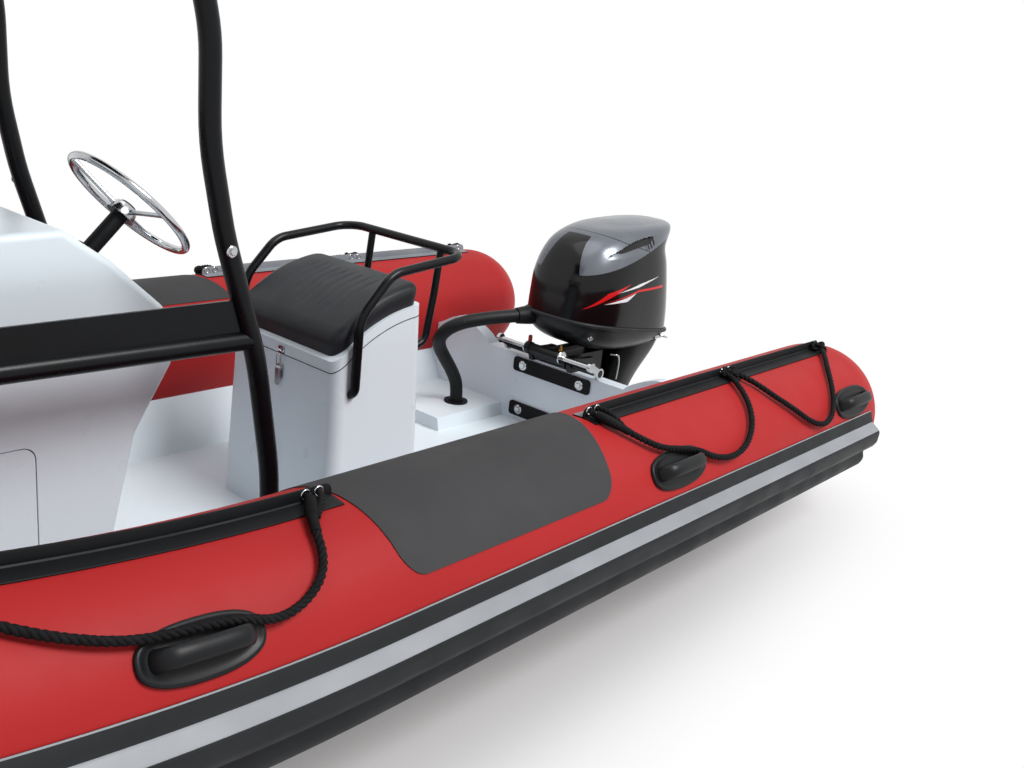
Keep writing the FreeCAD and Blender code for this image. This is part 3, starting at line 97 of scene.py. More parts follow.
world = bpy.data.worlds.new("studio")
world.use_nodes = True
world.node_tree.nodes.clear()
plain = world.node_tree.nodes.new("ShaderNodeBackground")
plain.inputs["Color"].default_value = (0.93, 0.965, 1.0, 1)
plain.inputs["Strength"].default_value = 0.32
white =world.node_tree.nodes.new("ShaderNodeBackground")
white.inputs["Color"].default_value = (1, 1, 1, 1)
white.inputs["Strength"].default_value = 1.0
choose = world.node_tree.nodes.new("ShaderNodeMixShader")
world_out = world.node_tree.nodes.new("ShaderNodeOutputWorld")
world.node_tree.links.new(seen_directly(world.node_tree), choose.inputs[0])
world.node_tree.links.new(plain.outputs[0], choose.inputs[1])
world.node_tree.links.new(white.outputs[0], choose.inputs[2])
world.node_tree.links.new(choose.outputs[0], world_out.inputs[0])
bpy.context.scene.world = world

floor_mesh = bmesh.new()
bmesh.ops.create_grid(floor_mesh, x_segments=2, y_segments=2, size=60)
floor_data = bpy.data.meshes.new("studio_floor")
floor_mesh.to_mesh(floor_data)
floor_mesh.free()
studio_floor = bpy.data.objects.new("studio_floor", floor_data)
bpy.context.scene.collection.objects.link(studio_floor)
floor_paint = bpy.data.materials.new("studio floor paint")
floor_paint.use_nodes = True
floor_tree = floor_paint.node_tree
floor_tree.nodes.clear()
matt = floor_tree.nodes.new("ShaderNodeBsdfDiffuse")
# Painted shade: an ambient occlusion node darkens the floor's colour towards near black wherever the boat is within 0.6
# m.
occlusion_painted_shade = floor_tree.nodes.new("ShaderNodeAmbientOcclusion")
occlusion_painted_shade.inputs["Distance"].default_value = 0.6
shade = floor_tree.nodes.new("ShaderNodeMix")
shade.data_type = "RGBA"
shade.inputs[6].default_value = (0.16, 0.16, 0.16, 1)
shade.inputs[7].default_value = (0.86, 0.86, 0.86, 1)
floor_tree.links.new(occlusion_painted_shade.outputs["AO"], shade.inputs[0])
floor_tree.links.new(shade.outputs[2], matt.inputs["Color"])
glow = floor_tree.nodes.new("ShaderNodeEmission")
glow.inputs["Color"].default_value = (1, 1, 1, 1)
glow.inputs["Strength"].default_value = 1.0
floor_place = floor_tree.nodes.new("ShaderNodeMapping")
floor_place.inputs["Location"].default_value = (0.05, 0.0, 0.0)
floor_place.inputs["Scale"].default_value = (0.30, 0.58, 1.0)
floor_where = floor_tree.nodes.new("ShaderNodeTexCoord")
floor_tree.links.new(floor_where.outputs["Object"], floor_place.inputs["Vector"])
floor_far = floor_tree.nodes.new("ShaderNodeVectorMath")
floor_far.operation = "LENGTH"
floor_tree.links.new(floor_place.outputs[0], floor_far.inputs[0])
floor_white = floor_tree.nodes.new("ShaderNodeMapRange")
floor_white.interpolation_type = "SMOOTHSTEP"
floor_white.inputs["From Min"].default_value = 0.70
floor_white.inputs["From Max"].default_value = 1.20
floor_white.inputs["To Min"].default_value = 0.25
floor_tree.links.new(floor_far.outputs["Value"], floor_white.inputs["Value"])
camera_share = floor_tree.nodes.new("ShaderNodeMath")
camera_share.operation = "MULTIPLY"
floor_tree.links.new(floor_white.outputs[0], camera_share.inputs[1])
floor_tree.links.new(seen_directly(floor_tree), camera_share.inputs[0])
floor_mix = floor_tree.nodes.new("ShaderNodeMixShader")
floor_out = floor_tree.nodes.new("ShaderNodeOutputMaterial")
floor_tree.links.new(camera_share.outputs[0], floor_mix.inputs[0])
floor_tree.links.new(matt.outputs[0], floor_mix.inputs[1])
floor_tree.links.new(glow.outputs[0], floor_mix.inputs[2])
floor_tree.links.new(floor_mix.outputs[0], floor_out.inputs[0])
floor_data.materials.append(floor_paint)


def lamp(name, place, aim, size, power):
    light = bpy.data.lights.new(name, "AREA")
    light.shape = "DISK"
    light.size = size
    light.energy = power
    holder = bpy.data.objects.new(name, light)
    bpy.context.scene.collection.objects.link(holder)
    holder.location = place
    holder.rotation_euler = (Vector(aim) - Vector(place)).to_track_quat("-Z", "Y").to_euler()


lamp("key_lamp", (-4.0, 9.5, 12.0), (-1.0, 0.2, 0.4), 7.0, 2350)
lamp("bow_lamp", (6.0, 1.0, 5.0), (0.0, 0.0, 0.6), 4.0, 18)
lamp("sky_lamp", (0.0, -1.5, 9.0), (-0.5, 0.0, 0.4), 8.0, 220)


# The collar: air-filled tubes of coated red fabric, two straight sides and a bow swept up and round the nose.
# Its finish mixes a cloudy colour with a fine grain, two patterns that the other finishes share.
# Every piece glued on it is placed by its distance along the tube's middle, its angle round it and its height over it.
def srgb(r, g, b):
    return tuple(c / 255 / 12.92 if c <= 10 else ((c / 255 + 0.055) / 1.055) ** 2.4 for c in (r, g, b)) + (1.0,)


def pattern_group(name, inputs, outputs):
    group = bpy.data.node_groups.new(name, "ShaderNodeTree")
    for label, kind in inputs:
        group.interface.new_socket(label, in_out="INPUT", socket_type="NodeSocket" + kind)
    for label, kind in outputs:
        group.interface.new_socket(label, in_out="OUTPUT", socket_type="NodeSocket" + kind)
    return group, group.nodes.new("NodeGroupInput"), group.nodes.new("NodeGroupOutput")


def join(tree, source, target):
    tree.links.new(source, target)


clouded, clouded_in, clouded_out = pattern_group(
    "clouded colour", [("Vector", "Vector"), ("Colour", "Color"), ("Second colour", "Color"), ("Scale", "Float"),
                       ("Smooth", "Float"), ("Rough", "Float")], [("Colour", "Color"), ("Roughness", "Float")])
cloud_noise = clouded.nodes.new("ShaderNodeTexNoise")
cloud_noise.inputs["Detail"].default_value = 5
join(clouded, clouded_in.outputs["Vector"], cloud_noise.inputs["Vector"])
join(clouded, clouded_in.outputs["Scale"], cloud_noise.inputs["Scale"])
cloud_ramp = clouded.nodes.new("ShaderNodeMapRange")
cloud_ramp.inputs["From Min"].default_value = 0.32
cloud_ramp.inputs["From Max"].default_value = 0.68
join(clouded, cloud_noise.outputs["Fac"], cloud_ramp.inputs["Value"])
cloud_mix = clouded.nodes.new("ShaderNodeMix")
cloud_mix.data_type = "RGBA"
join(clouded, cloud_ramp.outputs[0], cloud_mix.inputs[0])
join(clouded, clouded_in.outputs["Colour"], cloud_mix.inputs[6])
join(clouded, clouded_in.outputs["Second colour"], cloud_mix.inputs[7])
join(clouded, cloud_mix.outputs[2], clouded_out.inputs["Colour"])
smear = clouded.nodes.new("ShaderNodeTexNoise")
smear.inputs["Scale"].default_value = 9.0
smear.inputs["Detail"].default_value = 7
join(clouded, clouded_in.outputs["Vector"], smear.inputs["Vector"])
smear_range = clouded.nodes.new("ShaderNodeMapRange")
smear_range.inputs["From Min"].default_value = 0.3
smear_range.inputs["From Max"].default_value = 0.7
join(clouded, smear.outputs["Fac"], smear_range.inputs["Value"])
join(clouded, clouded_in.outputs["Smooth"], smear_range.inputs["To Min"])
join(clouded, clouded_in.outputs["Rough"], smear_range.inputs["To Max"])
join(clouded, smear_range.outputs[0], clouded_out.inputs["Roughness"])

grained, grained_in, grained_out = pattern_group(
    "fine grain", [("Vector", "Vector"), ("Scale", "Float")], [("Height", "Float")])
grain_noise = grained.nodes.new("ShaderNodeTexNoise")
grain_noise.inputs["Detail"].default_value = 4
join(grained, grained_in.outputs["Vector"], grain_noise.inputs["Vector"])
join(grained, grained_in.outputs["Scale"], grain_noise.inputs["Scale"])
grain_cells = grained.nodes.new("ShaderNodeTexVoronoi")
join(grained, grained_in.outputs["Vector"], grain_cells.inputs["Vector"])
join(grained, grained_in.outputs["Scale"], grain_cells.inputs["Scale"])
grain_sum = grained.nodes.new("ShaderNodeMath")
grain_sum.operation = "MULTIPLY_ADD"
grain_sum.inputs[1].default_value = 0.5
join(grained, grain_cells.outputs["Distance"], grain_sum.inputs[0])
join(grained, grain_noise.outputs["Fac"], grain_sum.inputs[2])
join(grained, grain_sum.outputs[0], grained_out.inputs["Height"])


def place_group(tree, group, vector, **values):
    node = tree.nodes.new("ShaderNodeGroup")
    node.node_tree = group
    join(tree, vector, node.inputs["Vector"])
    for label, value in values.items():
        node.inputs[label.replace("_", " ")].default_value = value
    return node


def finish_of(name, colour, second, cloud=3.0, smooth=0.35, rough=0.5, pattern=grained, fineness=300.0,
              depth=0.0002, metallic=0.0, coat=0.0, shine=0.5):
    material = bpy.data.materials.new(name)
    material.use_nodes = True
    tree = material.node_tree
    shader = tree.nodes["Principled BSDF"]
    shader.inputs["Metallic"].default_value = metallic
    shader.inputs["Specular IOR Level"].default_value = shine
    shader.inputs["Coat Weight"].default_value = coat
    shader.inputs["Coat Roughness"].default_value = 0.08
    where = tree.nodes.new("ShaderNodeTexCoord").outputs["Object"]
    paint = place_group(tree, clouded, where, Colour=colour, Second_colour=second, Scale=cloud, Smooth=smooth, Rough=rough)
    join(tree, paint.outputs["Colour"], shader.inputs["Base Color"])
    join(tree, paint.outputs["Roughness"], shader.inputs["Roughness"])
    relief = place_group(tree, pattern, where, Scale=fineness)
    bump = tree.nodes.new("ShaderNodeBump")
    bump.inputs["Distance"].default_value = depth
    join(tree, relief.outputs["Height"], bump.inputs["Height"])
    join(tree, bump.outputs["Normal"], shader.inputs["Normal"])
    return material


def dress(material, *names):
    for name in names:
        data = nodes[name].data
        data.materials.clear()
        data.materials.append(material)


tube_radius = 0.260
tube_aft = Vector((-2.600, 0.946, 0.370))
straight_length = 2.420
sheer_radius = 5.500
sheer_turn = math.radians(8.5)
rise_length = 0.430
bow_turn = math.radians(50)
nose_radius = 0.420
bow_radius = (tube_aft.y - nose_radius * math.cos(bow_turn)) / (1 - math.cos(bow_turn))
sheer_end = straight_length + sheer_radius * sheer_turn
rise_end = sheer_end + rise_length
bow_end = rise_end + bow_radius * bow_turn
nose_end = bow_end + nose_radius * (math.pi / 2 - bow_turn)


def collar_frame(s):
    if s <= straight_length:
        return tube_aft + Vector((s, 0, 0)), Vector((0, 1, 0)), Vector((0, 0, 1))
    turn = min((s - straight_length) / sheer_radius, sheer_turn)
    forward = Vector((math.cos(turn), 0, math.sin(turn)))
    up = Vector((-math.sin(turn), 0, math.cos(turn)))
    middle = tube_aft + Vector((straight_length + sheer_radius * math.sin(turn), 0, sheer_radius * (1 - math.cos(turn))))
    if s <= sheer_end:
        return middle, Vector((0, 1, 0)), up
    middle = middle + forward * min(s - sheer_end, rise_length)
    if s <= rise_end:
        return middle, Vector((0, 1, 0)), up
    turn = min((s - rise_end) / bow_radius, bow_turn)
    centre = middle - Vector((0, bow_radius, 0))
    if s > bow_end:
        centre = centre + (forward * math.sin(turn) + Vector((0, math.cos(turn), 0))) * (bow_radius - nose_radius)
        turn = bow_turn + (s - bow_end) / nose_radius
    outboard = forward * math.sin(turn) + Vector((0, math.cos(turn), 0))
    return centre + outboard * (nose_radius if s > bow_end else bow_radius), outboard, up


def on_collar(s, angle, height):
    middle, outboard, up = collar_frame(s)
    a = math.radians(angle)
    return middle + (outboard * math.cos(a) + up * math.sin(a)) * (tube_radius + height)


red_fabric = finish_of("red coated fabric", srgb(160, 29, 30), srgb(154, 27, 28), cloud=1.6, smooth=0.5, rough=0.6,
                       fineness=520.0, depth=0.00003, shine=0.2)
dress(red_fabric, "collar_port", "collar_starboard", "collar_bow")


# Moulded boat: hull, floor, foredeck, hatch and transom in pale grey gelcoat with a soft gloss.
# The floor carries the mould's fine non-slip grain; sides and hull are plain.
gelcoat = finish_of("pale grey gelcoat", srgb(219, 228, 234), srgb(216, 225, 232), cloud=1.2, smooth=0.27, rough=0.31,
                    fineness=90.0, depth=0.00002, coat=0.1, shine=0.4)
deck_gelcoat = finish_of("non-slip deck gelcoat", srgb(217, 226, 231), srgb(211, 220, 226), cloud=2.2, smooth=0.44,
                         rough=0.52, fineness=240.0, depth=0.0003, coat=0.05, shine=0.35)
dress(gelcoat, "hull", "transom", "seat_pod", "seat_lid", "console", "console_door", "bow_hatch")
dress(deck_gelcoat, "deck_liner", "bow_deck")


# Backing plates on the transom's inner face, black plastic, each held by two stainless bolts.
# A bolt has a domed washer and a six-sided head with a rounded crown.
def finished(name, mesh, materials, body="boat", smooth=True, crease=35):
    data = bpy.data.meshes.new(name)
    bmesh.ops.recalc_face_normals(mesh, faces=mesh.faces)
    for face in mesh.faces:
        face.smooth = smooth
    for edge in mesh.edges:
        edge.smooth = edge.calc_face_angle(0) < math.radians(crease)
    mesh.to_mesh(data)
    mesh.free()
    for material in materials if isinstance(materials, (list, tuple)) else [materials]:
        data.materials.append(material)
    piece = bpy.data.objects.new(name, data)
    bpy.context.scene.collection.objects.link(piece)
    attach(piece, body)
    return piece


def turned(profile, place, way, segments=32, mesh=None):
    mesh = mesh or bmesh.new()
    start = [mesh.verts.new((radius, 0, rise)) for rise, radius in profile]
    edges = [mesh.edges.new((a, b)) for a, b in zip(start, start[1:])]
    made = bmesh.ops.spin(mesh, geom=start + edges, cent=(0, 0, 0), axis=(0, 0, 1), angle=2 * math.pi, steps=segments,
                          use_merge=True)
    verts = {v for g in made["geom_last"] for v in (g.verts if hasattr(g, "verts") else [g])} | set(start)
    seen = set(verts)
    queue = list(verts)
    while queue:
        for edge in queue.pop().link_edges:
            for vert in edge.verts:
                if vert not in seen:
                    seen.add(vert)
                    queue.append(vert)
    turn = Vector(way).normalized().to_track_quat("Z", "Y").to_matrix().to_4x4()
    bmesh.ops.transform(mesh, matrix=Matrix.Translation(Vector(place)) @ turn, verts=list(seen))
    bmesh.ops.remove_doubles(mesh, verts=list(seen), dist=0.00001)
    return mesh


def bolt_head(mesh, place, way, size=0.010):
    turned([(0, 0), (0, 1.7 * size), (0.18 * size, 1.7 * size), (0.38 * size, 1.45 * size), (0.4 * size, 0)], place, way,
           segments=28, mesh=mesh)
    turned([(0.35 * size, 0), (0.35 * size, size), (0.95 * size, size), (1.1 * size, 0.86 * size), (1.13 * size, 0)],
           place, way, segments=6, mesh=mesh)
    return mesh


steel = finish_of("polished stainless steel", srgb(196, 198, 200), srgb(176, 178, 181), cloud=9.0, smooth=0.1, rough=0.24,
                  fineness=60.0, depth=0.00001, metallic=1.0)
black_plastic = finish_of("black plastic", srgb(17, 18, 21), srgb(13, 14, 17), cloud=6.0, smooth=0.42, rough=0.58,
                          fineness=600.0, depth=0.0001, shine=0.14)
dress(black_plastic, "transom_plates", "helm_hub")
dress(steel, "bow_eye", "tow_eyes", "steering_rod")
plate_bolts = bmesh.new()
for bolt_height in (0.314, 0.114):
    for bolt_side in (-0.154, 0.154):
        bolt_head(plate_bolts, (-2.149, bolt_side, bolt_height), (1, 0, 0), 0.0125)
finished("transom_plate_bolts", plate_bolts, steel, crease=30)


# Rub strake: an extruded rubber band with two ridges, glued round the outside of the collar.
# The upper ridge has a silver-grey face and the rest is charcoal.
def stations(start, stop, pitch=0.05):
    count = max(2, round((stop - start) / pitch))
    return [start + (stop - start) * i / count for i in range(count + 1)]


def swept(outline, places, shape=None):
    mesh = bmesh.new()
    strip = mesh.verts.layers.int.new("strip")
    count = len(outline)
    lay = shape or (lambda s, angle, height: (angle, height))
    ring = [mesh.verts.new(on_collar(places[0], *lay(places[0], *point))) for point in outline]
    for k, vert in enumerate(ring):
        vert[strip] = k
    edges = [mesh.edges.new((ring[k], ring[(k + 1) % count])) for k in range(count)]
    for s in places[1:]:
        made = bmesh.ops.extrude_edge_only(mesh, edges=edges)["geom"]
        edges = [g for g in made if isinstance(g, bmesh.types.BMEdge)]
        for vert in (g for g in made if isinstance(g, bmesh.types.BMVert)):
            vert.co = on_collar(s, *lay(s, *outline[vert[strip]]))
    bmesh.ops.holes_fill(mesh, edges=[e for e in mesh.edges if e.is_boundary], sides=0)
    return mesh


def mirrored_side(mesh):
    bmesh.ops.scale(mesh, vec=(1, -1, 1), verts=mesh.verts)
    return mesh


strake_outline = [(15.6, 0.0004), (15.6, 0.003), (14.9, 0.0042), (9, 0.008), (6.4, 0.011), (5.4, 0.014), (1.6, 0.0372), (0.8, 0.0412),
                  (-0.6, 0.0446), (-2, 0.0450), (-7, 0.0450), (-8.6, 0.0437), (-12, 0.0370), (-13.2, 0.033), (-15.4, 0.0178),
                  (-17, 0.0150), (-19.4, 0.0150), (-20.8, 0.0168), (-23.4, 0.0266), (-25, 0.0300), (-27.4, 0.0320),
                  (-30.6, 0.0320), (-32, 0.0304), (-35, 0.0240), (-46, 0.0050), (-50, 0.0020), (-50, 0.0004)]
silver_strips = (1, 4, 5, 6)
strake_rubber = finish_of("charcoal strake rubber", srgb(36, 37, 39), srgb(29, 30, 32), cloud=4.0, smooth=0.42, rough=0.62,
                          fineness=420.0, depth=0.0001, shine=0.14)
strake_silver = finish_of("silver strake face", srgb(140, 143, 147), srgb(126, 129, 133), cloud=5.0, smooth=0.34, rough=0.5,
                          fineness=420.0, depth=0.00006, shine=0.35)


def strake(places):
    mesh = swept(strake_outline, places)
    strip = mesh.verts.layers.int.active
    for face in mesh.faces:
        marks = {vert[strip] for vert in face.verts}
        face.material_index = 1 if len(marks) == 2 and min(marks) in silver_strips else 0
    return mesh


side_places = stations(0, straight_length, 0.4) + stations(straight_length, sheer_end, 0.06)[1:] + [rise_end]
bow_places = stations(rise_end, bow_end, 0.05) + stations(bow_end, nose_end, 0.03)[1:]
for side in ("port", "starboard"):
    side_strake = strake(side_places)
    if side == "starboard":
        mirrored_side(side_strake)
    piece = finished("rubbing_strake_" + side, side_strake, [strake_rubber, strake_silver], crease=30)
    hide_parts("rub_strake_" + side)
bow_strake = strake(bow_places)
bmesh.ops.delete(bow_strake, geom=[f for f in bow_strake.faces if len(f.verts) > 4 and f.calc_center_median().y < 0.02],
                 context="FACES_ONLY")
bmesh.ops.mirror(bow_strake, geom=bow_strake.verts[:] + bow_strake.edges[:] + bow_strake.faces[:], axis="Y", merge_dist=0.0005)
piece = finished("rubbing_strake_bow", bow_strake, [strake_rubber, strake_silver], crease=30)
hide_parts("rub_strake_bow")


# Lifeline fins: black rubber profile along the top of each tube, a glued flange with a web standing on it.
# The web's inboard face is painted paler grey as a painted highlight, its ends are rounded, and stainless eyelets line
# the holes for the ropes.
fin_angle = 88.5
fin_web = 0.55
fin_height = 0.033
fin_stretches = ((0.040, 1.520), (2.424, 4.300))
fin_end_radius = 0.020
fin_rubber = finish_of("black fin rubber", srgb(18, 19, 21), srgb(13, 14, 16), cloud=6.0, smooth=0.42, rough=0.6,
                       fineness=500.0, depth=0.00008, shine=0.14)
# Painted highlight: a pale grey finish for the flange and web faces on the inboard side of the black fin.
fin_inside_painted_highlight = finish_of("grey fin face painted highlight", srgb(132, 136, 141), srgb(112, 116, 121), cloud=6.0, smooth=0.42, rough=0.6,
                       fineness=500.0, depth=0.00008, shine=0.3)
fin_outline = [(fin_angle + 8, 0.0003), (fin_angle + 8, 0.0025), (fin_angle + 7.7, 0.004), (fin_angle + 1.2, 0.004),
               (fin_angle + fin_web, 0.007), (fin_angle + fin_web, fin_height - 0.002),
               (fin_angle + 0.3, fin_height), (fin_angle - 0.3, fin_height), (fin_angle - fin_web, fin_height - 0.002),
               (fin_angle - fin_web, 0.007), (fin_angle - 1.2, 0.004), (fin_angle - 10.2, 0.004),
               (fin_angle - 10.5, 0.0025), (fin_angle - 10.5, 0.0003)]
rope_ends = (0.080, 0.722, 0.762, 1.462, 1.499, 2.462, 2.499, 3.350)


def fin_places(start, stop):
    rounding = [fin_end_radius * (1 - math.cos(math.pi / 2 * i / 6)) for i in range(7)]
    middle = stations(start + fin_end_radius, stop - fin_end_radius, 0.08)
    return [start + 0.0001 + r for r in rounding[:-1]] + middle + [stop - 0.0001 - r for r in reversed(rounding[:-1])]


for side in ("port", "starboard"):
    fin_mesh = bmesh.new()
    for start, stop in fin_stretches:
        def rounded_end(s, angle, height):
            if height < 0.005:
                return angle, height
            into = min(s - start, stop - s, fin_end_radius)
            drop = fin_end_radius - math.sqrt(fin_end_radius ** 2 - (fin_end_radius - into) ** 2)
            return angle, max(0.0045, height - drop)
        stretch = swept(fin_outline, fin_places(start, stop), rounded_end)
        strip = stretch.verts.layers.int.active
        for face in stretch.faces:
            marks = {vert[strip] for vert in face.verts}
            # The inboard flange and web faces take the pale grey painted highlight.
            face.material_index = 1 if len(marks) == 2 and min(marks) in (2, 3, 4, 5) and max(marks) < 7 else 0
        holder = bpy.data.meshes.new("fin stretch")
        stretch.to_mesh(holder)
        stretch.free()
        fin_mesh.from_mesh(holder)
        bpy.data.meshes.remove(holder)
    eyelets = bmesh.new()
    for s in rope_ends:
        middle, outboard, up = collar_frame(s)
        hole = on_collar(s, fin_angle, 0.0195)
        for way in (outboard, -outboard):
            turned([(0.0024, 0.0085), (0.0042, 0.0090), (0.0048, 0.0110), (0.0042, 0.0128), (0.0024, 0.0132)], hole, way,
                   segments=24, mesh=eyelets)
    if side == "starboard":
        mirrored_side(fin_mesh)
        mirrored_side(eyelets)
    piece = finished("lifeline_fin_" + side, fin_mesh, [fin_rubber, fin_inside_painted_highlight], crease=40)
    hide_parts("lifeline_fins_" + side)
    finished("fin_eyelets_" + side, eyelets, steel, crease=60)


# Wear patch: thick grey fabric glued over the tube where the crew steps across it, its lower corners rounded.
# It is cut flat, so it is laid out flat here and then wrapped onto the tube.
patch_low = (1.636, 2.376, 30)
patch_high = (1.490, 2.440, 128)
patch_middle = 0.5 * (patch_low[2] + patch_high[2])
ribbed, ribbed_in, ribbed_out = pattern_group("ribbed cloth", [("Vector", "Vector"), ("Scale", "Float")],
                                              [("Height", "Float")])
rib_wave = ribbed.nodes.new("ShaderNodeTexWave")
rib_wave.bands_direction = "X"
rib_wave.inputs["Distortion"].default_value = 0.2
join(ribbed, ribbed_in.outputs["Vector"], rib_wave.inputs["Vector"])
join(ribbed, ribbed_in.outputs["Scale"], rib_wave.inputs["Scale"])
rib_noise = ribbed.nodes.new("ShaderNodeTexNoise")
rib_noise.inputs["Detail"].default_value = 3
join(ribbed, ribbed_in.outputs["Vector"], rib_noise.inputs["Vector"])
join(ribbed, ribbed_in.outputs["Scale"], rib_noise.inputs["Scale"])
rib_sum = ribbed.nodes.new("ShaderNodeMath")
rib_sum.operation = "MULTIPLY_ADD"
rib_sum.inputs[1].default_value = 0.3
join(ribbed, rib_wave.outputs["Fac"], rib_sum.inputs[0])
join(ribbed, rib_noise.outputs["Fac"], rib_sum.inputs[2])
join(ribbed, rib_sum.outputs[0], ribbed_out.inputs["Height"])
patch_fabric = finish_of("grey patch fabric", srgb(62, 62, 63), srgb(56, 56, 57), cloud=2.5, smooth=0.62, rough=0.78,
                         fineness=420.0, depth=0.0001, shine=0.12)
for side in ("port", "starboard"):
    patch = bmesh.new()
    corners = []
    for start, stop, angle in (patch_low, patch_high):
        rise = tube_radius * math.sin(math.radians(angle - patch_middle))
        corners += [(start, rise, 0), (stop, rise, 0)]
    corner_verts = [patch.verts.new(corners[k]) for k in (0, 1, 3, 2)]
    patch.faces.new(corner_verts)
    bmesh.ops.bevel(patch, geom=corner_verts[:2], offset=0.050, segments=8, affect="VERTICES", profile=0.5, material=-1)
    for k in range(1, 40):
        everything = patch.verts[:] + patch.edges[:] + patch.faces[:]
        bmesh.ops.bisect_plane(patch, geom=everything, dist=0.0002, plane_no=(0, 1, 0),
                               plane_co=(0, corners[0][1] + (corners[2][1] - corners[0][1]) * k / 40, 0))
    for k in range(1, 12):
        everything = patch.verts[:] + patch.edges[:] + patch.faces[:]
        bmesh.ops.bisect_plane(patch, geom=everything, dist=0.0002, plane_no=(1, 0, 0),
                               plane_co=(1.490 + 0.95 * k / 12, 0, 0))
    under = {}
    made = bmesh.ops.extrude_face_region(patch, geom=patch.faces[:])["geom"]
    upper = {g for g in made if isinstance(g, bmesh.types.BMVert)}
    for vert in patch.verts:
        angle = patch_middle + math.degrees(math.asin(max(-1, min(1, vert.co.y / tube_radius))))
        vert.co = on_collar(vert.co.x, angle, 0.0026 if vert in upper else 0.0004)
    if side == "starboard":
        mirrored_side(patch)
    piece = finished("step_patch_" + side, patch, patch_fabric, crease=40)
    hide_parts("wear_patch_" + side)


# Grab handles: moulded rubber pads glued on the tube's shoulder, dished inside a raised rim.
# A thick grip bridges each pad and flows into it at both ends.
handles = ((0.146, 29), (1.320, 32), (2.890, 33), (3.620, 33))
handle_length = 0.270
handle_width = 0.112
handle_rubber = finish_of("black handle rubber", srgb(17, 18, 20), srgb(12, 13, 15), cloud=7.0, smooth=0.34, rough=0.46,
                          fineness=650.0, depth=0.00006, shine=0.2)


def smooth_line(points, steps=10):
    curve = bpy.data.curves.new("line", "CURVE")
    curve.dimensions = "3D"
    curve.resolution_u = steps
    spline = curve.splines.new("NURBS")
    spline.points.add(len(points) - 1)
    for point, place in zip(spline.points, points):
        point.co = (*place, 1)
    spline.order_u = 3
    spline.use_endpoint_u = True
    holder = bpy.data.objects.new("line", curve)
    bpy.context.scene.collection.objects.link(holder)
    bpy.context.view_layer.update()
    sampled = bpy.data.meshes.new_from_object(holder.evaluated_get(bpy.context.evaluated_depsgraph_get()))
    line = [v.co.copy() for v in sampled.vertices]
    bpy.data.meshes.remove(sampled)
    bpy.data.objects.remove(holder)
    bpy.data.curves.remove(curve)
    return line


def line_frames(line):
    frames = []
    side = None
    closed = (line[0] - line[-1]).length < 0.000001
    for i, place in enumerate(line):
        along = (line[min(i + 1, len(line) - 1)] - line[max(i - 1, 0)]).normalized()
        if closed and i in (0, len(line) - 1):
            along = (line[1] - line[-2]).normalized()
        if side is None:
            side = along.orthogonal().normalized()
        side = (side - along * side.dot(along)).normalized()
        frames.append((place, along, side, along.cross(side)))
    return frames


def tube_along(mesh, line, radius, segments=16, capped=True):
    frames = line_frames(line)
    sized = radius if callable(radius) else (lambda t: radius)
    ring = bmesh.ops.create_circle(mesh, segments=segments, radius=1.0)["verts"]
    edges = list({e for v in ring for e in v.link_edges})
    flat = [v.co.copy() for v in ring]
    if capped:
        bmesh.ops.contextual_create(mesh, geom=edges)

    def lay(verts, index):
        place, along, side, up = frames[index]
        r = sized(index / (len(frames) - 1))
        for vert, shape in zip(verts, flat):
            vert.co = place + side * (shape.x * r) + up * (shape.y * r)

    lay(ring, 0)
    for i in range(1, len(frames)):
        made = bmesh.ops.extrude_edge_only(mesh, edges=edges)["geom"]
        fresh = {g for g in made if isinstance(g, bmesh.types.BMVert)}
        following = []
        for vert in ring:
            following.append(next(e.other_vert(vert) for e in vert.link_edges if e.other_vert(vert) in fresh))
        edges = [g for g in made if isinstance(g, bmesh.types.BMEdge)]
        ring = following
        lay(ring, i)
    if capped:
        bmesh.ops.contextual_create(mesh, geom=edges)
    return mesh


def wrapped(mesh, s, angle):
    for vert in mesh.verts:
        x, y, z = vert.co
        vert.co = on_collar(s + x, angle + math.degrees(y / tube_radius), z)
    return mesh


def handle_shape():
    mesh = bmesh.new()
    ring = bmesh.ops.create_circle(mesh, segments=56, radius=1.0, cap_ends=True)["verts"]
    for vert in ring:
        c, s = vert.co.x, vert.co.y
        vert.co.x = math.copysign(abs(c) ** 0.85, c) * (handle_length / 2)
        vert.co.y = math.copysign(abs(s) ** 0.78, s) * (handle_width / 2)
    top = mesh.faces[:]
    for sink, narrow in ((0.0062, 0.0), (0.0028, 0.003), (0.0, 0.006), (-0.0034, 0.005), (-0.0006, 0.010)):
        if narrow == 0.0:
            made = bmesh.ops.extrude_face_region(mesh, geom=top)["geom"]
            top = [g for g in made if isinstance(g, bmesh.types.BMFace)]
            bmesh.ops.translate(mesh, vec=(0, 0, sink), verts=list({v for f in top for v in f.verts}))
        else:
            bmesh.ops.inset_region(mesh, faces=top, thickness=narrow, depth=0.0, use_even_offset=True)
            bmesh.ops.translate(mesh, vec=(0, 0, sink), verts=list({v for f in top for v in f.verts}))
    bmesh.ops.poke(mesh, faces=[f for f in mesh.faces if len(f.verts) > 4])
    for vert in mesh.verts:
        vert.co.z += 0.0004
    grip_line = smooth_line([(-0.096, 0, 0.004), (-0.093, 0, 0.020), (-0.080, 0, 0.040), (-0.050, 0, 0.0455), (0, 0, 0.046),
                             (0.050, 0, 0.0455), (0.080, 0, 0.040), (0.093, 0, 0.020), (0.096, 0, 0.004)])
    grip = bmesh.new()
    tube_along(grip, grip_line, lambda t: 0.0115 + 0.0030 * abs(2 * t - 1) ** 3, segments=20)
    bmesh.ops.scale(grip, vec=(1, 1.5, 0.92), verts=grip.verts)
    holder = bpy.data.meshes.new("grip")
    grip.to_mesh(holder)
    grip.free()
    mesh.from_mesh(holder)
    bpy.data.meshes.remove(holder)
    return mesh


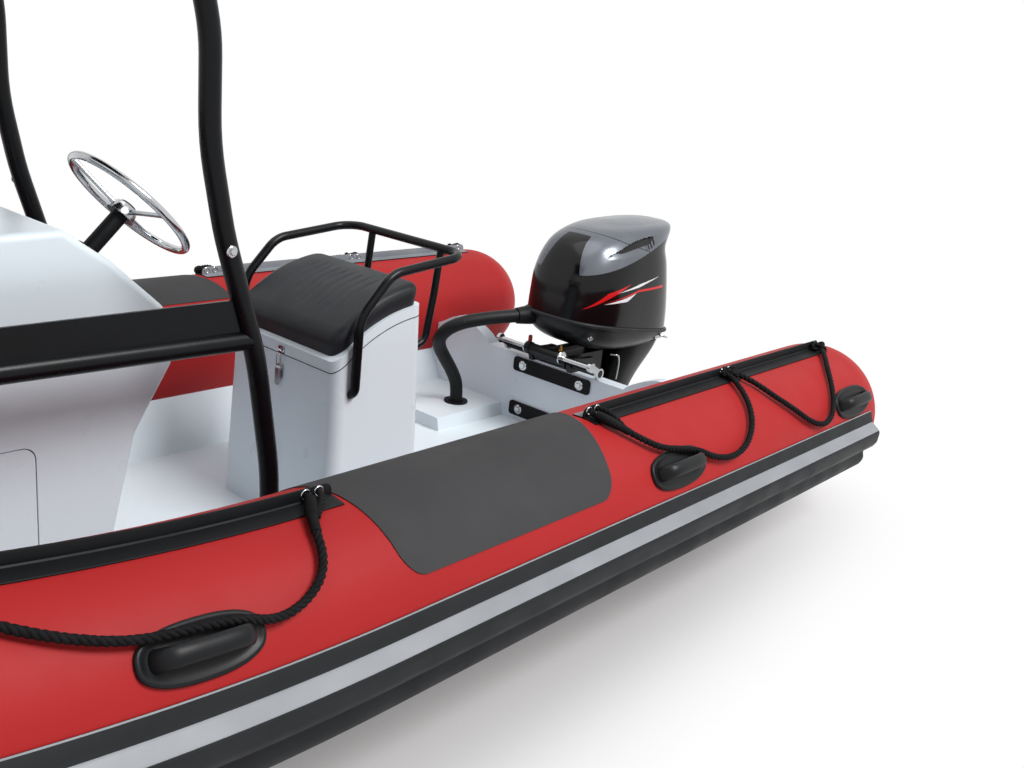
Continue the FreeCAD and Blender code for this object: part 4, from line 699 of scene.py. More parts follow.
for side in ("port", "starboard"):
    all_handles = bmesh.new()
    for s, angle in handles:
        one = wrapped(handle_shape(), s, angle)
        holder = bpy.data.meshes.new("handle")
        one.to_mesh(holder)
        one.free()
        all_handles.from_mesh(holder)
        bpy.data.meshes.remove(holder)
    if side == "starboard":
        mirrored_side(all_handles)
    piece = finished("grab_handle_set_" + side, all_handles, handle_rubber, crease=50)
    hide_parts("grab_handles_" + side)


# Lifelines: 16 mm black three-strand rope, made off to the fins at both ends and lying in loose bights on the tube.
# Each route's points are the ones its plain tube follows; the strands are laid round the smooth line through them.
# A whipped sleeve covers the forward end of the two long bights, and a knot holds the aft pair together.
fin_face = fin_angle - math.degrees((0.0025 + 0.0003) / tube_radius)
rope_fore = ((2.499, 84, 20), (2.530, 76, 20), (2.558, 65, 20), (2.572, 54, 19), (2.604, 44, 18), (2.665, 36.8, 18),
             (2.735, 34.5, 20), (2.798, 38, 28), (2.862, 40, 30), (2.929, 40.5, 28), (3.011, 41.5, 20), (3.090, 45, 20),
             (3.180, 52, 18), (3.260, 61, 18), (3.315, 72, 18), (3.350, 84, 20))
rope_mid = ((1.499, 83, 20), (1.482, 67, 22), (1.432, 54, 20), (1.378, 46, 20), (1.300, 41.5, 24), (1.220, 37.5, 20),
            (1.150, 29.5, 18), (1.056, 25.5, 18), (0.970, 28, 18), (0.905, 36, 18), (0.863, 45, 18), (0.828, 56, 18),
            (0.798, 69, 19), (0.762, 82, 20))
rope_aft = ((0.722, 80, 20), (0.698, 66, 18), (0.668, 53, 18), (0.600, 40, 18), (0.520, 27, 18), (0.429, 21, 18),
            (0.362, 24, 18), (0.318, 33, 18), (0.270, 46, 18), (0.215, 59, 18), (0.140, 71, 18), (0.080, 81, 20))
rope_black = finish_of("black rope fibre", srgb(20, 20, 22), srgb(10, 10, 12), cloud=60.0, smooth=0.6, rough=0.8,
                       pattern=ribbed, fineness=420.0, depth=0.0004, shine=0.12)


def rope_strands(line, pitch=0.046, strands=3, radius=0.0098):
    length = [0.0]
    for a, b in zip(line, line[1:]):
        length.append(length[-1] + (b - a).length)
    frames = line_frames(line)
    mesh = bmesh.new()
    for k in range(strands):
        helix = []
        for (place, along, side, up), run in zip(frames, length):
            turn = 2 * math.pi * (run / pitch + k / strands)
            helix.append(place + (side * math.cos(turn) + up * math.sin(turn)) * radius * 0.47)
        tube_along(mesh, helix, radius * 0.56, segments=8)
    return mesh


def evenly(line, pitch):
    result = [line[0]]
    run = 0.0
    for a, b in zip(line, line[1:]):
        step = (b - a).length
        while run + step >= pitch:
            a = a + (b - a) * ((pitch - run) / step)
            result.append(a)
            step = (b - a).length
            run = 0.0
        run += step
    if (result[-1] - line[-1]).length > pitch * 0.3:
        result.append(line[-1])
    else:
        result[-1] = line[-1]
    return result


def whipping(line, start, stop):
    pitch = 0.006
    stretch = evenly(line, 0.0015)[round(start / 0.0015):round(stop / 0.0015)]
    mesh = bmesh.new()
    tube_along(mesh, stretch, lambda t: 0.0108 + 0.0036 * math.sin(math.pi * min(1, 1.25 * t + 0.12)) ** 0.7 +
               0.0006 * math.sin(2 * math.pi * t * (stop - start) / pitch), segments=18)
    return mesh


def knot_mesh(s, angle, height, size=0.0088):
    loop = []
    for i in range(60):
        t = 2 * math.pi * i / 59
        loop.append(Vector(((math.sin(t) + 2 * math.sin(2 * t)) * size * 1.25, (math.cos(t) - 2 * math.cos(2 * t)) * size * 0.9,
                            -math.sin(3 * t) * size * 0.9 + height)))
    return wrapped(rope_strands(evenly(loop, 0.004), radius=0.0078), s, angle)


for part, table in (("fore", rope_fore), ("mid", rope_mid), ("aft", rope_aft)):
    first, second, last, before = table[0], table[1], table[-1], table[-2]
    route_points = [(first[0] + 0.3 * (first[0] - second[0]), fin_face + 3, first[2])] + list(table)
    route_points += [(last[0] + 0.3 * (last[0] - before[0]), fin_face + 3, last[2])]
    for side, sign in (("port", 1), ("starboard", -1)):
        route = [on_collar(s, angle, height / 1000) for s, angle, height in route_points]
        route = [Vector((p.x, p.y * sign, p.z)) for p in route]
        whole = smooth_line(route)
        limit = sign * on_collar(table[0][0], fin_face, 0.020).y
        line = evenly([p for p in whole if abs(p.y) >= abs(limit)], 0.006)
        piece = finished("lifeline_rope_%s_%s" % (part, side), rope_strands(line), rope_black, crease=80)
        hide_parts("lifeline_%s_%s" % (part, side))
        if part != "aft":
            sleeve = finished("rope_sleeve_%s_%s" % (part, side), whipping(line, 0.020, 0.128), rope_black,
                              crease=60)
            hole = {"fore": 2.462, "mid": 1.462}[part]
            back = {"fore": ((2.462, fin_face, 20), (2.468, 85, 24), (2.486, 80, 27), (2.512, 75, 23), (2.534, 71, 21)),
                    "mid": ((1.462, fin_face, 20), (1.460, 84, 25), (1.463, 77, 28), (1.470, 69, 25), (1.471, 63, 22))}[part]
            returned = [on_collar(s, angle, height / 1000) for s, angle, height in back]
            returned = [Vector((p.x, p.y * sign, p.z)) for p in returned]
            finished("rope_return_%s_%s" % (part, side), rope_strands(evenly(smooth_line(returned), 0.005),
                                                                                  radius=0.0082),
                                  rope_black, crease=80)
        knot_at ={"fore": (table[-1][0], 84.5), "mid": (0.742, 84), "aft": (0.080, 83)}[part]
        knot = knot_mesh(knot_at[0], knot_at[1], 0.021)
        if sign < 0:
            mirrored_side(knot)
        finished("rope_knot_%s_%s" % (part, side), knot, rope_black, crease=80)


# Seat cushion: foam under charcoal vinyl, rolled over the front, with nine sewn channels running fore and aft.
# It is screwed to the lid and lifts with it.
seat_front = -0.760
seat_length = 0.345
seat_draft = 0.022
seam_high = 0.762


def circle_through(a, b, c):
    d = 2 * (a[0] * (b[1] - c[1]) + b[0] * (c[1] - a[1]) + c[0] * (a[1] - b[1]))
    sa, sb, sc = (p[0] ** 2 + p[1] ** 2 for p in (a, b, c))
    x = (sa * (b[1] - c[1]) + sb * (c[1] - a[1]) + sc * (a[1] - b[1])) / d
    z = (sa * (c[0] - b[0]) + sb * (a[0] - c[0]) + sc * (b[0] - a[0])) / d
    return x, z, math.hypot(a[0] - x, a[1] - z)


seam_circle = circle_through((seat_front - seat_length - 0.060, seam_high),
                             (seat_front - seat_length * 0.42, seam_high - 0.046), (seat_front + 0.060, 0.550))


def seam_height(x):
    return seam_circle[1] + math.sqrt(seam_circle[2] ** 2 - (x - seam_circle[0]) ** 2)


pad_aft = seat_front - seat_length + 0.008
pad_front = seat_front - 0.004
pad_half = 0.258
pad_thick = 0.078
pad_edge = 0.026
channel_gap = 0.037
vinyl = finish_of("charcoal vinyl", srgb(30, 34, 38), srgb(25, 28, 32), cloud=8.0, smooth=0.42, rough=0.54, fineness=700.0,
                  depth=0.0001, shine=0.28)
cushion = bmesh.new()
bmesh.ops.create_grid(cushion, x_segments=70, y_segments=176, size=1.0)
top_verts = cushion.verts[:]
made = bmesh.ops.extrude_face_region(cushion, geom=cushion.faces[:])["geom"]
raised = {g for g in made if isinstance(g, bmesh.types.BMVert)}
half_deep = 0.5 * (pad_front - pad_aft)
corner = 0.045
for vert in cushion.verts:
    x = vert.co.x * half_deep
    y = vert.co.y * pad_half
    out_x, out_y = abs(x) - (half_deep - corner), abs(y) - (pad_half - corner)
    if out_x > 0 and out_y > 0:
        pull = max(out_x, out_y) / math.hypot(out_x, out_y)
        x = math.copysign(half_deep - corner + out_x * pull, x)
        y = math.copysign(pad_half - corner + out_y * pull, y)
        edge = corner - max(out_x, out_y)
    else:
        edge = min(half_deep - abs(x), pad_half - abs(y))
    place = 0.5 * (pad_front + pad_aft) + x
    base = seam_height(place) + 0.0350
    if vert in raised:
        rounding = pad_edge - math.sqrt(max(0.0, pad_edge ** 2 - max(0.0, pad_edge - edge) ** 2))
        crown = 0.007 * (1 - (x / half_deep) ** 2) * (1 - (y / pad_half) ** 2)
        sewn = min(1, max(0, (half_deep - 0.045 - x) / 0.05)) * min(1, max(0, (x + half_deep - 0.080) / 0.04))
        sewn *= min(1, max(0, (0.170 - abs(y)) / 0.004))
        phase = (y / channel_gap) % 1
        off_line = min(phase, 1 - phase) * channel_gap
        valley = 0.0048 * math.exp(-(off_line / 0.0036) ** 2) + 0.0012 * (1 - min(1, off_line / 0.016)) ** 2
        z = base + pad_thick - 0.009 - rounding + crown - sewn * valley
    else:
        tuck = 0.004
        x = x * (1 - tuck / half_deep)
        y = y * (1 - tuck / pad_half)
        place = 0.5 * (pad_front + pad_aft) + x
        z = seam_height(place) + 0.0350
    vert.co = (place, y, z)
side_edges = [e for e in cushion.edges if (e.verts[0] in raised) != (e.verts[1] in raised)]
made = bmesh.ops.subdivide_edges(cushion, edges=side_edges, cuts=5, use_grid_fill=True)
piece = finished("seat_pad", cushion, vinyl, body="seat_top", crease=80)
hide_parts("seat_cushion")


# Seal in the joint below the seat's lid: a thin black rubber bead round the locker, glued to its edge.
def seat_face(z, off=0.0):
    return seat_front + seat_draft * (seam_high - z) / 0.702 + off


bead_line = []
bead_corner = 0.040
for k in range(360):
    turn = 2 * math.pi * (k + 0.5) / 360
    spread = 0.0
    for attempt in range(4):
        deep, wide = 0.5 * seat_length + spread, 0.266 + spread
        reach = min(deep / abs(math.cos(turn)), wide / abs(math.sin(turn)))
        x, y = reach * math.cos(turn), reach * math.sin(turn)
        over_x, over_y = abs(x) - (deep - bead_corner), abs(y) - (wide - bead_corner)
        if over_x > 0 and over_y > 0:
            pull = bead_corner / math.hypot(over_x, over_y)
            x = math.copysign(deep - bead_corner + over_x * pull, x)
            y = math.copysign(wide - bead_corner + over_y * pull, y)
        x += seat_front - 0.5 * seat_length
        spread = seat_draft * (seam_high - seam_height(x)) / 0.702
    bead_line.append(Vector((x, y, seam_height(x) - 0.0012)))
bead = bmesh.new()
tube_along(bead, bead_line + [bead_line[0]], 0.0014, segments=8, capped=False)
bmesh.ops.remove_doubles(bead, verts=bead.verts[:], dist=0.00005)
finished("seat_seam_seal", bead, black_plastic, crease=80)


# Toggle latch on the seat's front: a stainless catch on the lid, and a lever with a wire loop below the seam.

def rounded_plate(mesh, centre, size, corner_radius=0.004):
    made = bmesh.ops.create_cube(mesh, size=1.0)
    verts = made["verts"]
    bmesh.ops.scale(mesh, vec=size, verts=verts)
    upright = [e for e in {e for v in verts for e in v.link_edges} if abs(e.verts[0].co.x - e.verts[1].co.x) > size[0] * 0.9]
    rounded = bmesh.ops.bevel(mesh, geom=upright, offset=corner_radius, segments=4, affect="EDGES", profile=0.5, material=-1)
    moved = {v for f in rounded["faces"] for v in f.verts} | {v for v in verts if v.is_valid}
    bmesh.ops.translate(mesh, vec=centre, verts=list(moved))


latch_lid = bmesh.new()
rounded_plate(latch_lid, (seat_face(0.628, 0.0022), 0.0, 0.626), (0.003, 0.030, 0.024))
tube_along(latch_lid, smooth_line([(seat_face(0.620, 0.004), -0.009, 0.622), (seat_face(0.620, 0.012), -0.009, 0.626),
                                   (seat_face(0.620, 0.014), 0.0, 0.630), (seat_face(0.620, 0.012), 0.009, 0.626),
                                   (seat_face(0.620, 0.004), 0.009, 0.622)]), 0.0024, segments=10)
finished("seat_latch_catch", latch_lid, steel, body="seat_top", crease=40)
latch_box = bmesh.new()
rounded_plate(latch_box, (seat_face(0.556, 0.0022), 0.0, 0.556), (0.003, 0.030, 0.044))
tube_along(latch_box, [Vector((seat_face(0.568, 0.008), y, 0.568)) for y in (-0.013, 0.013)], 0.0045, segments=14)
rounded_plate(latch_box, (seat_face(0.545, 0.013), 0.0, 0.540), (0.003, 0.019, 0.056))
tube_along(latch_box, smooth_line([(seat_face(0.568, 0.010), -0.0105, 0.566), (seat_face(0.6, 0.012), -0.0105, 0.600),
                                   (seat_face(0.6, 0.013), -0.008, 0.6165), (seat_face(0.6, 0.013), 0.008, 0.6165),
                                   (seat_face(0.6, 0.012), 0.0105, 0.600), (seat_face(0.568, 0.010), 0.0105, 0.566)]), 0.0018,
           segments=10)
finished("seat_latch_lever", latch_box, steel, crease=40)


# Seat rail and T-top: bent steel tube under black powder coat; the canvas panel and the windscreen come with them.
# Each aft leg is in two lengths, joined by a sleeve line with a stainless bolt.
black_coat = finish_of("black powder coat", srgb(11, 13, 16), srgb(8, 9, 12), cloud=5.0, smooth=0.24, rough=0.34,
                       fineness=900.0, depth=0.00003, shine=0.18)
dress(black_coat, "seat_rail", "ttop_frame_port", "ttop_frame_starboard", "ttop_hoop")
leg_bolts = bmesh.new()
for sign in (1, -1):
    bolt_head(leg_bolts, (-0.190, sign * 0.5445, 1.085), (0, sign, 0), 0.0085)
    for foot_x in (-0.352, 0.760):
        for turn in (45, 135, 225, 315):
            spot = (foot_x + 0.040 * math.cos(math.radians(turn)), sign * 0.520 + 0.040 * math.sin(math.radians(turn)), 0.068)
            bolt_head(leg_bolts, spot, (0, 0, 1), 0.0045)
finished("ttop_bolts", leg_bolts, steel, crease=30)


# T-top cover: one sheet of black canvas drawn over the hoop and laced under it, sagging a little between the bars.
top_aft, top_fore, top_half, hoop_height, hoop_radius = -0.420, 0.920, 0.640, 2.092, 0.019
canvas_weave, canvas_weave_in, canvas_weave_out = pattern_group("canvas weave", [("Vector", "Vector"), ("Scale", "Float")],
                                                                [("Height", "Float")])
weave_parts = []
for direction in ("X", "Y"):
    wave = canvas_weave.nodes.new("ShaderNodeTexWave")
    wave.bands_direction = direction
    wave.inputs["Distortion"].default_value = 0.5
    join(canvas_weave, canvas_weave_in.outputs["Vector"], wave.inputs["Vector"])
    join(canvas_weave, canvas_weave_in.outputs["Scale"], wave.inputs["Scale"])
    weave_parts.append(wave.outputs["Fac"])
weave_sum = canvas_weave.nodes.new("ShaderNodeMath")
weave_sum.operation = "ADD"
join(canvas_weave, weave_parts[0], weave_sum.inputs[0])
join(canvas_weave, weave_parts[1], weave_sum.inputs[1])
join(canvas_weave, weave_sum.outputs[0], canvas_weave_out.inputs["Height"])
canvas = finish_of("black canvas", srgb(26, 27, 30), srgb(19, 20, 23), cloud=5.0, smooth=0.72, rough=0.88,
                   pattern=canvas_weave, fineness=260.0, depth=0.0005, shine=0.2)
cover = bmesh.new()
bmesh.ops.create_grid(cover, x_segments=90, y_segments=84, size=1.0)
hem = 0.031
bend = 0.110
middle_x, half_x = 0.5 * (top_aft + top_fore), 0.5 * (top_fore - top_aft)
for vert in cover.verts:
    x, y = vert.co.x * (half_x + hem), vert.co.y * (top_half + hem)
    out_x, out_y = abs(x) - (half_x - bend), abs(y) - (top_half - bend)
    if out_x > 0 and out_y > 0:
        pull = max(out_x, out_y) / math.hypot(out_x, out_y)
        x = math.copysign(half_x - bend + out_x * pull, x)
        y = math.copysign(top_half - bend + out_y * pull, y)
        over = max(out_x, out_y) - bend
    else:
        over = max(abs(x) - half_x, abs(y) - top_half)
    turn = max(0.0, over) / (hoop_radius + 0.002)
    centre_x, centre_y = x, y
    if over > 0:
        reach = (hoop_radius + 0.002) * math.sin(min(turn, 2.2)) - over
        if out_x > 0 and out_y > 0:
            away = Vector((math.copysign(out_x, x), math.copysign(out_y, y))).normalized()
        elif abs(x) - half_x > abs(y) - top_half:
            away = Vector((math.copysign(1, x), 0))
        else:
            away = Vector((0, math.copysign(1, y)))
        centre_x += away.x * reach
        centre_y += away.y * reach
    z = hoop_height + (hoop_radius + 0.002) * math.cos(min(turn, 2.2))
    inside = max(0.0, min(1.0, -over / 0.3))
    bay = math.cos(math.pi * min(1.0, abs(x + middle_x - 0.26) / 0.30)) * 0.5 + 0.5
    z -= 0.010 * inside * (1 - (y / top_half) ** 2) * (0.35 + 0.65 * bay) - 0.0
    vert.co = (middle_x + centre_x, centre_y, z)
piece = finished("ttop_cover", cover, canvas, crease=80)
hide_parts("ttop_canopy")
thickness = piece.modifiers.new("thickness", "SOLIDIFY")
thickness.thickness = 0.0012
clear = bpy.data.materials.new("clear acrylic")
clear.use_nodes = True
clear_shader = clear.node_tree.nodes["Principled BSDF"]
clear_shader.inputs["Base Color"].default_value = srgb(150, 158, 162)
clear_shader.inputs["Transmission Weight"].default_value = 1.0
clear_shader.inputs["Roughness"].default_value = 0.03
clear_shader.inputs["IOR"].default_value = 1.3
dress(clear, "windscreen")


# Steering wheel: a polished steel rim on three spokes, with a turned hub under a black cap, keyed to the helm's shaft.
wheel = bmesh.new()
wheel_rim = [Vector((0.179 * math.cos(2 * math.pi * i / 120), 0.179 * math.sin(2 * math.pi * i / 120), 0)) for i in range(120)]
tube_along(wheel, wheel_rim + [wheel_rim[0]], 0.011, segments=28, capped=False)
for i in range(3):
    spoke_turn = Matrix.Rotation(math.radians(90 + 120 * i), 3, "Z")
    spoke = smooth_line([spoke_turn @ Vector(p) for p in ((0.025, 0, -0.022), (0.090, 0, -0.0126), (0.177, 0, 0))])
    tube_along(wheel, spoke, lambda t: 0.0064 + 0.0020 * (2 * t - 1) ** 4, segments=18)
turned([(-0.040, 0), (-0.040, 0.040), (-0.037, 0.0402), (-0.010, 0.0312), (-0.0075, 0.028), (-0.0075, 0)], (0, 0, 0), (0, 0, 1),
       segments=48, mesh=wheel)
wheel_place = Matrix.Translation((-0.242, 0, 1.100)) @ Matrix.Rotation(math.radians(-45), 4, "Y")
bmesh.ops.transform(wheel, matrix=wheel_place, verts=wheel.verts)
bmesh.ops.remove_doubles(wheel, verts=wheel.verts[:], dist=0.0001)
piece = finished("helm_wheel", wheel, steel, body="helm", crease=50)
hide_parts("steering_wheel")
wheel_cap = turned([(-0.0072, 0.0235), (-0.0045, 0.0232), (-0.0022, 0.0210), (-0.0008, 0.0130), (-0.0004, 0)], (0, 0, 0),
                   (0, 0, 1), segments=40)
bmesh.ops.transform(wheel_cap, matrix=wheel_place, verts=wheel_cap.verts)
finished("helm_wheel_cap", wheel_cap, black_plastic, body="helm", crease=50)


# Outboard motor. Its cover is a gloss black moulding whose upper part is painted dark metallic grey, with generic
# red and white stripes on each side, a lens-shaped air scoop under the cap whose upper half and slat gaps are painted
# near-black as painted shade, and a rubber band at its lower seam.
steer_x = -2.430
cover_rows = ((0.345, -0.357, 0.214, 0.5293, 0.150, 3.0), (0.333, -0.339, 0.219, 0.619, 0.138, 3.0),
              (0.320, -0.315, 0.217, 0.717, 0.097, 3.0), (0.287, -0.300, 0.206, 0.808, 0.073, 2.9),
              (0.232, -0.294, 0.185, 0.874, 0.072, 2.8), (0.141, -0.357, 0.150, 0.937, -0.021, 2.6),
              (0.020, -0.311, 0.090, 0.954, -0.035, 2.4))


def between_rows(rows, t):
    k = min(int(t), len(rows) - 2)
    f = t - k
    before, here, after, beyond = (rows[max(0, min(len(rows) - 1, k + d))] for d in (-1, 0, 1, 2))
    return [0.5 * (2 * q + (r - p) * f + (2 * p - 5 * q + 4 * r - s) * f * f + (3 * q - p - 3 * r + s) * f ** 3)
            for p, q, r, s in zip(before, here, after, beyond)]


def oval_point(row, turn, grow=0.0):
    front, rear, half, z, slope, power = row
    middle, reach = 0.5 * (front + rear), 0.5 * (front - rear) + grow
    c, s = math.cos(turn), math.sin(turn)
    x = middle + reach * math.copysign(abs(c) ** (2 / power), c)
    y = (half + grow) * math.copysign(abs(s) ** (2 / power), s)
    return Vector((steer_x + x, y, z + slope * (x - middle)))


def scoop_depth(x, z):
    u = (-2.222 - x) / 0.322
    if not 0 < u < 1:
        return 0.0
    low = 0.839 + 0.020 * u + 0.022 * u ** 8
    high = 0.843 + 0.072 * (1 - (1 - u) ** 2.2)
    f = (z - low) / (high - low)
    if not 0 < f < 1:
        return 0.0
    return f * min(1, 4 * u) * min(1, 8 * (1 - u))


cover_mesh = bmesh.new()
around, layers = 320, 96
cover_mesh.verts.layers.float.new("scoop")
cover_mesh.verts.layers.float.new("turn")
scoop_layer = cover_mesh.verts.layers.float["scoop"]
turn_of = cover_mesh.verts.layers.float["turn"]
ring = bmesh.ops.create_circle(cover_mesh, segments=around, radius=1.0)["verts"]
for k, vert in enumerate(ring):
    vert[turn_of] = math.atan2(vert.co.y, vert.co.x)
edges = cover_mesh.edges[:]


def lay_cover(verts, t):
    row = between_rows(cover_rows, t)
    for vert in verts:
        point = oval_point(row, vert[turn_of])
        depth = scoop_depth(point.x, point.z) if abs(point.y) > 0.12 else 0.0
        point.y -= math.copysign(0.014 * depth, point.y)
        vert[scoop_layer] = depth
        vert.co = point


lay_cover(ring, 0.0)
for i in range(1, layers + 1):
    made = bmesh.ops.extrude_edge_only(cover_mesh, edges=edges)["geom"]
    edges = [g for g in made if isinstance(g, bmesh.types.BMEdge)]
    lay_cover([g for g in made if isinstance(g, bmesh.types.BMVert)], (len(cover_rows) - 1) * i / layers)
for shrink in (0.86, 0.68, 0.48, 0.26, 0.10):
    made = bmesh.ops.extrude_edge_only(cover_mesh, edges=edges)["geom"]
    edges = [g for g in made if isinstance(g, bmesh.types.BMEdge)]
    last = cover_rows[-1]
    for vert in (g for g in made if isinstance(g, bmesh.types.BMVert)):
        point = oval_point(last, vert[turn_of])
        middle = Vector((steer_x + 0.5 * (last[0] + last[1]), 0, last[3]))
        vert.co = middle + (point - middle) * shrink + Vector((0, 0, 0.008 * (1 - shrink ** 2)))
bmesh.ops.holes_fill(cover_mesh, edges=edges, sides=0)
bmesh.ops.holes_fill(cover_mesh, edges=[e for e in cover_mesh.edges if e.is_boundary], sides=0)

banded, banded_in, banded_out = pattern_group(
    "painted band", [("Vector", "Vector"), ("X0", "Float"), ("Z0", "Float"), ("W0", "Float"), ("X1", "Float"), ("Z1", "Float"),
                     ("W1", "Float")], [("Mask", "Float")])
band_parts = banded.nodes.new("ShaderNodeSeparateXYZ")
join(banded, banded_in.outputs["Vector"], band_parts.inputs[0])


def banded_range(value, to_min, to_max):
    node = banded.nodes.new("ShaderNodeMapRange")
    join(banded, value, node.inputs["Value"])
    join(banded, banded_in.outputs["X0"], node.inputs["From Min"])
    join(banded, banded_in.outputs["X1"], node.inputs["From Max"])
    join(banded, banded_in.outputs[to_min], node.inputs["To Min"])
    join(banded, banded_in.outputs[to_max], node.inputs["To Max"])
    return node.outputs[0]


def banded_math(operation, a, b=None, value=None):
    node = banded.nodes.new("ShaderNodeMath")
    node.operation = operation
    join(banded, a, node.inputs[0])
    if b is not None:
        join(banded, b, node.inputs[1])
    if value is not None:
        node.inputs[1].default_value = value
    return node.outputs[0]


band_line = banded_range(band_parts.outputs["X"], "Z0", "Z1")
band_width = banded_range(band_parts.outputs["X"], "W0", "W1")
band_off = banded_math("ABSOLUTE", banded_math("SUBTRACT", band_parts.outputs["Z"], band_line))
band_in_width = banded_math("LESS_THAN", band_off, band_width)
band_in_start = banded_math("LESS_THAN", band_parts.outputs["X"], banded_in.outputs["X0"])
band_in_stop = banded_math("GREATER_THAN", band_parts.outputs["X"], banded_in.outputs["X1"])
band_inside = banded_math("MULTIPLY", banded_math("MULTIPLY", band_in_width, band_in_start), band_in_stop)
join(banded, band_inside, banded_out.inputs["Mask"])

cover_paint = bpy.data.materials.new("motor cover paint")
cover_paint.use_nodes = True
cover_tree = cover_paint.node_tree
cover_shader = cover_tree.nodes["Principled BSDF"]
cover_shader.inputs["Coat Weight"].default_value = 0.12
cover_shader.inputs["Coat Roughness"].default_value = 0.05
cover_shader.inputs["Specular IOR Level"].default_value = 0.22
cover_where = cover_tree.nodes.new("ShaderNodeTexCoord").outputs["Object"]
black_paint = place_group(cover_tree, clouded, cover_where, Colour=srgb(11, 12, 14), Second_colour=srgb(8, 9, 10), Scale=2.0,
                          Smooth=0.14, Rough=0.2)
grey_paint = place_group(cover_tree, clouded, cover_where, Colour=srgb(112, 116, 123), Second_colour=srgb(98, 102, 109),
                         Scale=4.0, Smooth=0.22, Rough=0.3)


def painted(mask, below, above):
    mix = cover_tree.nodes.new("ShaderNodeMix")
    mix.data_type = "RGBA"
    join(cover_tree, mask, mix.inputs[0])
    for socket, value in ((6, below), (7, above)):
        if isinstance(value, tuple):
            mix.inputs[socket].default_value = value
        else:
            join(cover_tree, value, mix.inputs[socket])
    return mix.outputs[2]


def cover_math(operation, a, b):
    node = cover_tree.nodes.new("ShaderNodeMath")
    node.operation = operation
    for socket, value in ((0, a), (1, b)):
        if isinstance(value, (int, float)):
            node.inputs[socket].default_value = value
        else:
            join(cover_tree, value, node.inputs[socket])
    return node.outputs[0]


def bands(rows):
    mask = None
    for x0, z0, w0, x1, z1, w1 in rows:
        one = place_group(cover_tree, banded, cover_where, X0=x0, Z0=z0, W0=w0, X1=x1, Z1=z1, W1=w1).outputs["Mask"]
        mask = one if mask is None else cover_math("MAXIMUM", mask, one)
    return mask


cover_parts = cover_tree.nodes.new("ShaderNodeSeparateXYZ")
join(cover_tree, cover_where, cover_parts.inputs[0])
side_width = cover_math("ABSOLUTE", cover_parts.outputs["Y"], 0.0)
swoop_line = cover_math("MULTIPLY_ADD", cover_parts.outputs["X"], -0.25)
swoop_line.node.inputs[2].default_value = 0.765 - 0.25 * 2.115
over_swoop = cover_math("GREATER_THAN", cover_parts.outputs["Z"], swoop_line)
front_panel = cover_math("MULTIPLY_ADD", cover_parts.outputs["Z"], -0.30)
front_panel.node.inputs[2].default_value = 0.050 + 0.94 * 0.30
beside_front = cover_math("GREATER_THAN", side_width, front_panel)
behind_front = cover_math("LESS_THAN", cover_parts.outputs["X"], -2.235)
grey_area = cover_math("MULTIPLY", over_swoop, cover_math("MAXIMUM", beside_front, behind_front))
on_side = cover_math("GREATER_THAN", side_width, 0.10)
red_bands = bands(((-2.123, 0.635, 0.0, -2.215, 0.693, 0.012), (-2.215, 0.693, 0.012, -2.345, 0.739, 0.0),
                   (-2.190, 0.662, 0.0, -2.400, 0.704, 0.0045), (-2.400, 0.704, 0.0045, -2.590, 0.705, 0.005)))
white_bands = bands(((-2.262, 0.704, 0.0, -2.400, 0.7255, 0.006), (-2.400, 0.7255, 0.006, -2.552, 0.753, 0.0),
                     (-2.200, 0.660, 0.0, -2.326, 0.674, 0.009), (-2.326, 0.674, 0.009, -2.382, 0.696, 0.0)))
seam_bands = bands(((-2.240, 0.934, 0.0014, -2.330, 0.899, 0.0014), (-2.330, 0.899, 0.0014, -2.500, 0.853, 0.0014)))
scoop_mark = cover_tree.nodes.new("ShaderNodeAttribute")
scoop_mark.attribute_name = "scoop"
slat_wave = cover_tree.nodes.new("ShaderNodeTexWave")
slat_wave.bands_direction = "X"
slat_wave.inputs["Scale"].default_value = 15.0
join(cover_tree, cover_where, slat_wave.inputs["Vector"])
# Painted shade inside the air intake: the upper half of the lens-shaped dent and the gaps between its slats are painted
# near-black.
scoop_upper_painted_shade = cover_tree.nodes.new("ShaderNodeMapRange")
scoop_upper_painted_shade.inputs["From Min"].default_value = 0.44
scoop_upper_painted_shade.inputs["From Max"].default_value = 0.50
join(cover_tree, scoop_mark.outputs["Fac"], scoop_upper_painted_shade.inputs["Value"])
slats = cover_math("MULTIPLY", cover_math("GREATER_THAN", slat_wave.outputs["Fac"], 0.45),
                   cover_math("MULTIPLY", cover_math("LESS_THAN", cover_parts.outputs["X"], -2.462),
                              cover_math("GREATER_THAN", scoop_mark.outputs["Fac"], 0.12)))
scoop_painted_shade = cover_math("MAXIMUM", scoop_upper_painted_shade.outputs[0], slats)
base_paint = painted(grey_area, black_paint.outputs["Colour"], grey_paint.outputs["Colour"])
base_paint = painted(cover_math("MULTIPLY", red_bands, on_side), base_paint, srgb(214, 28, 30))
base_paint = painted(cover_math("MULTIPLY", white_bands, on_side), base_paint, srgb(232, 232, 232))
# Painted shade: the intake's upper half and slat gaps go near-black, and lose the grey paint's metallic.
base_paint = painted(scoop_painted_shade, base_paint, srgb(8, 8, 9))
base_paint = painted(seam_bands, base_paint, srgb(6, 6, 7))
join(cover_tree, base_paint, cover_shader.inputs["Base Color"])
outside_scoop_shade = cover_math("SUBTRACT", 1.0, scoop_painted_shade)
join(cover_tree, cover_math("MULTIPLY", cover_math("MULTIPLY", grey_area, 0.5), outside_scoop_shade), cover_shader.inputs["Metallic"])
join(cover_tree, painted(grey_area, black_paint.outputs["Roughness"], grey_paint.outputs["Roughness"]),
     cover_shader.inputs["Roughness"])
cover_relief = cover_tree.nodes.new("ShaderNodeBump")
cover_relief.invert = True
cover_relief.inputs["Distance"].default_value = 0.001
join(cover_tree, cover_math("MAXIMUM", seam_bands, slats), cover_relief.inputs["Height"])
join(cover_tree, cover_relief.outputs["Normal"], cover_shader.inputs["Normal"])
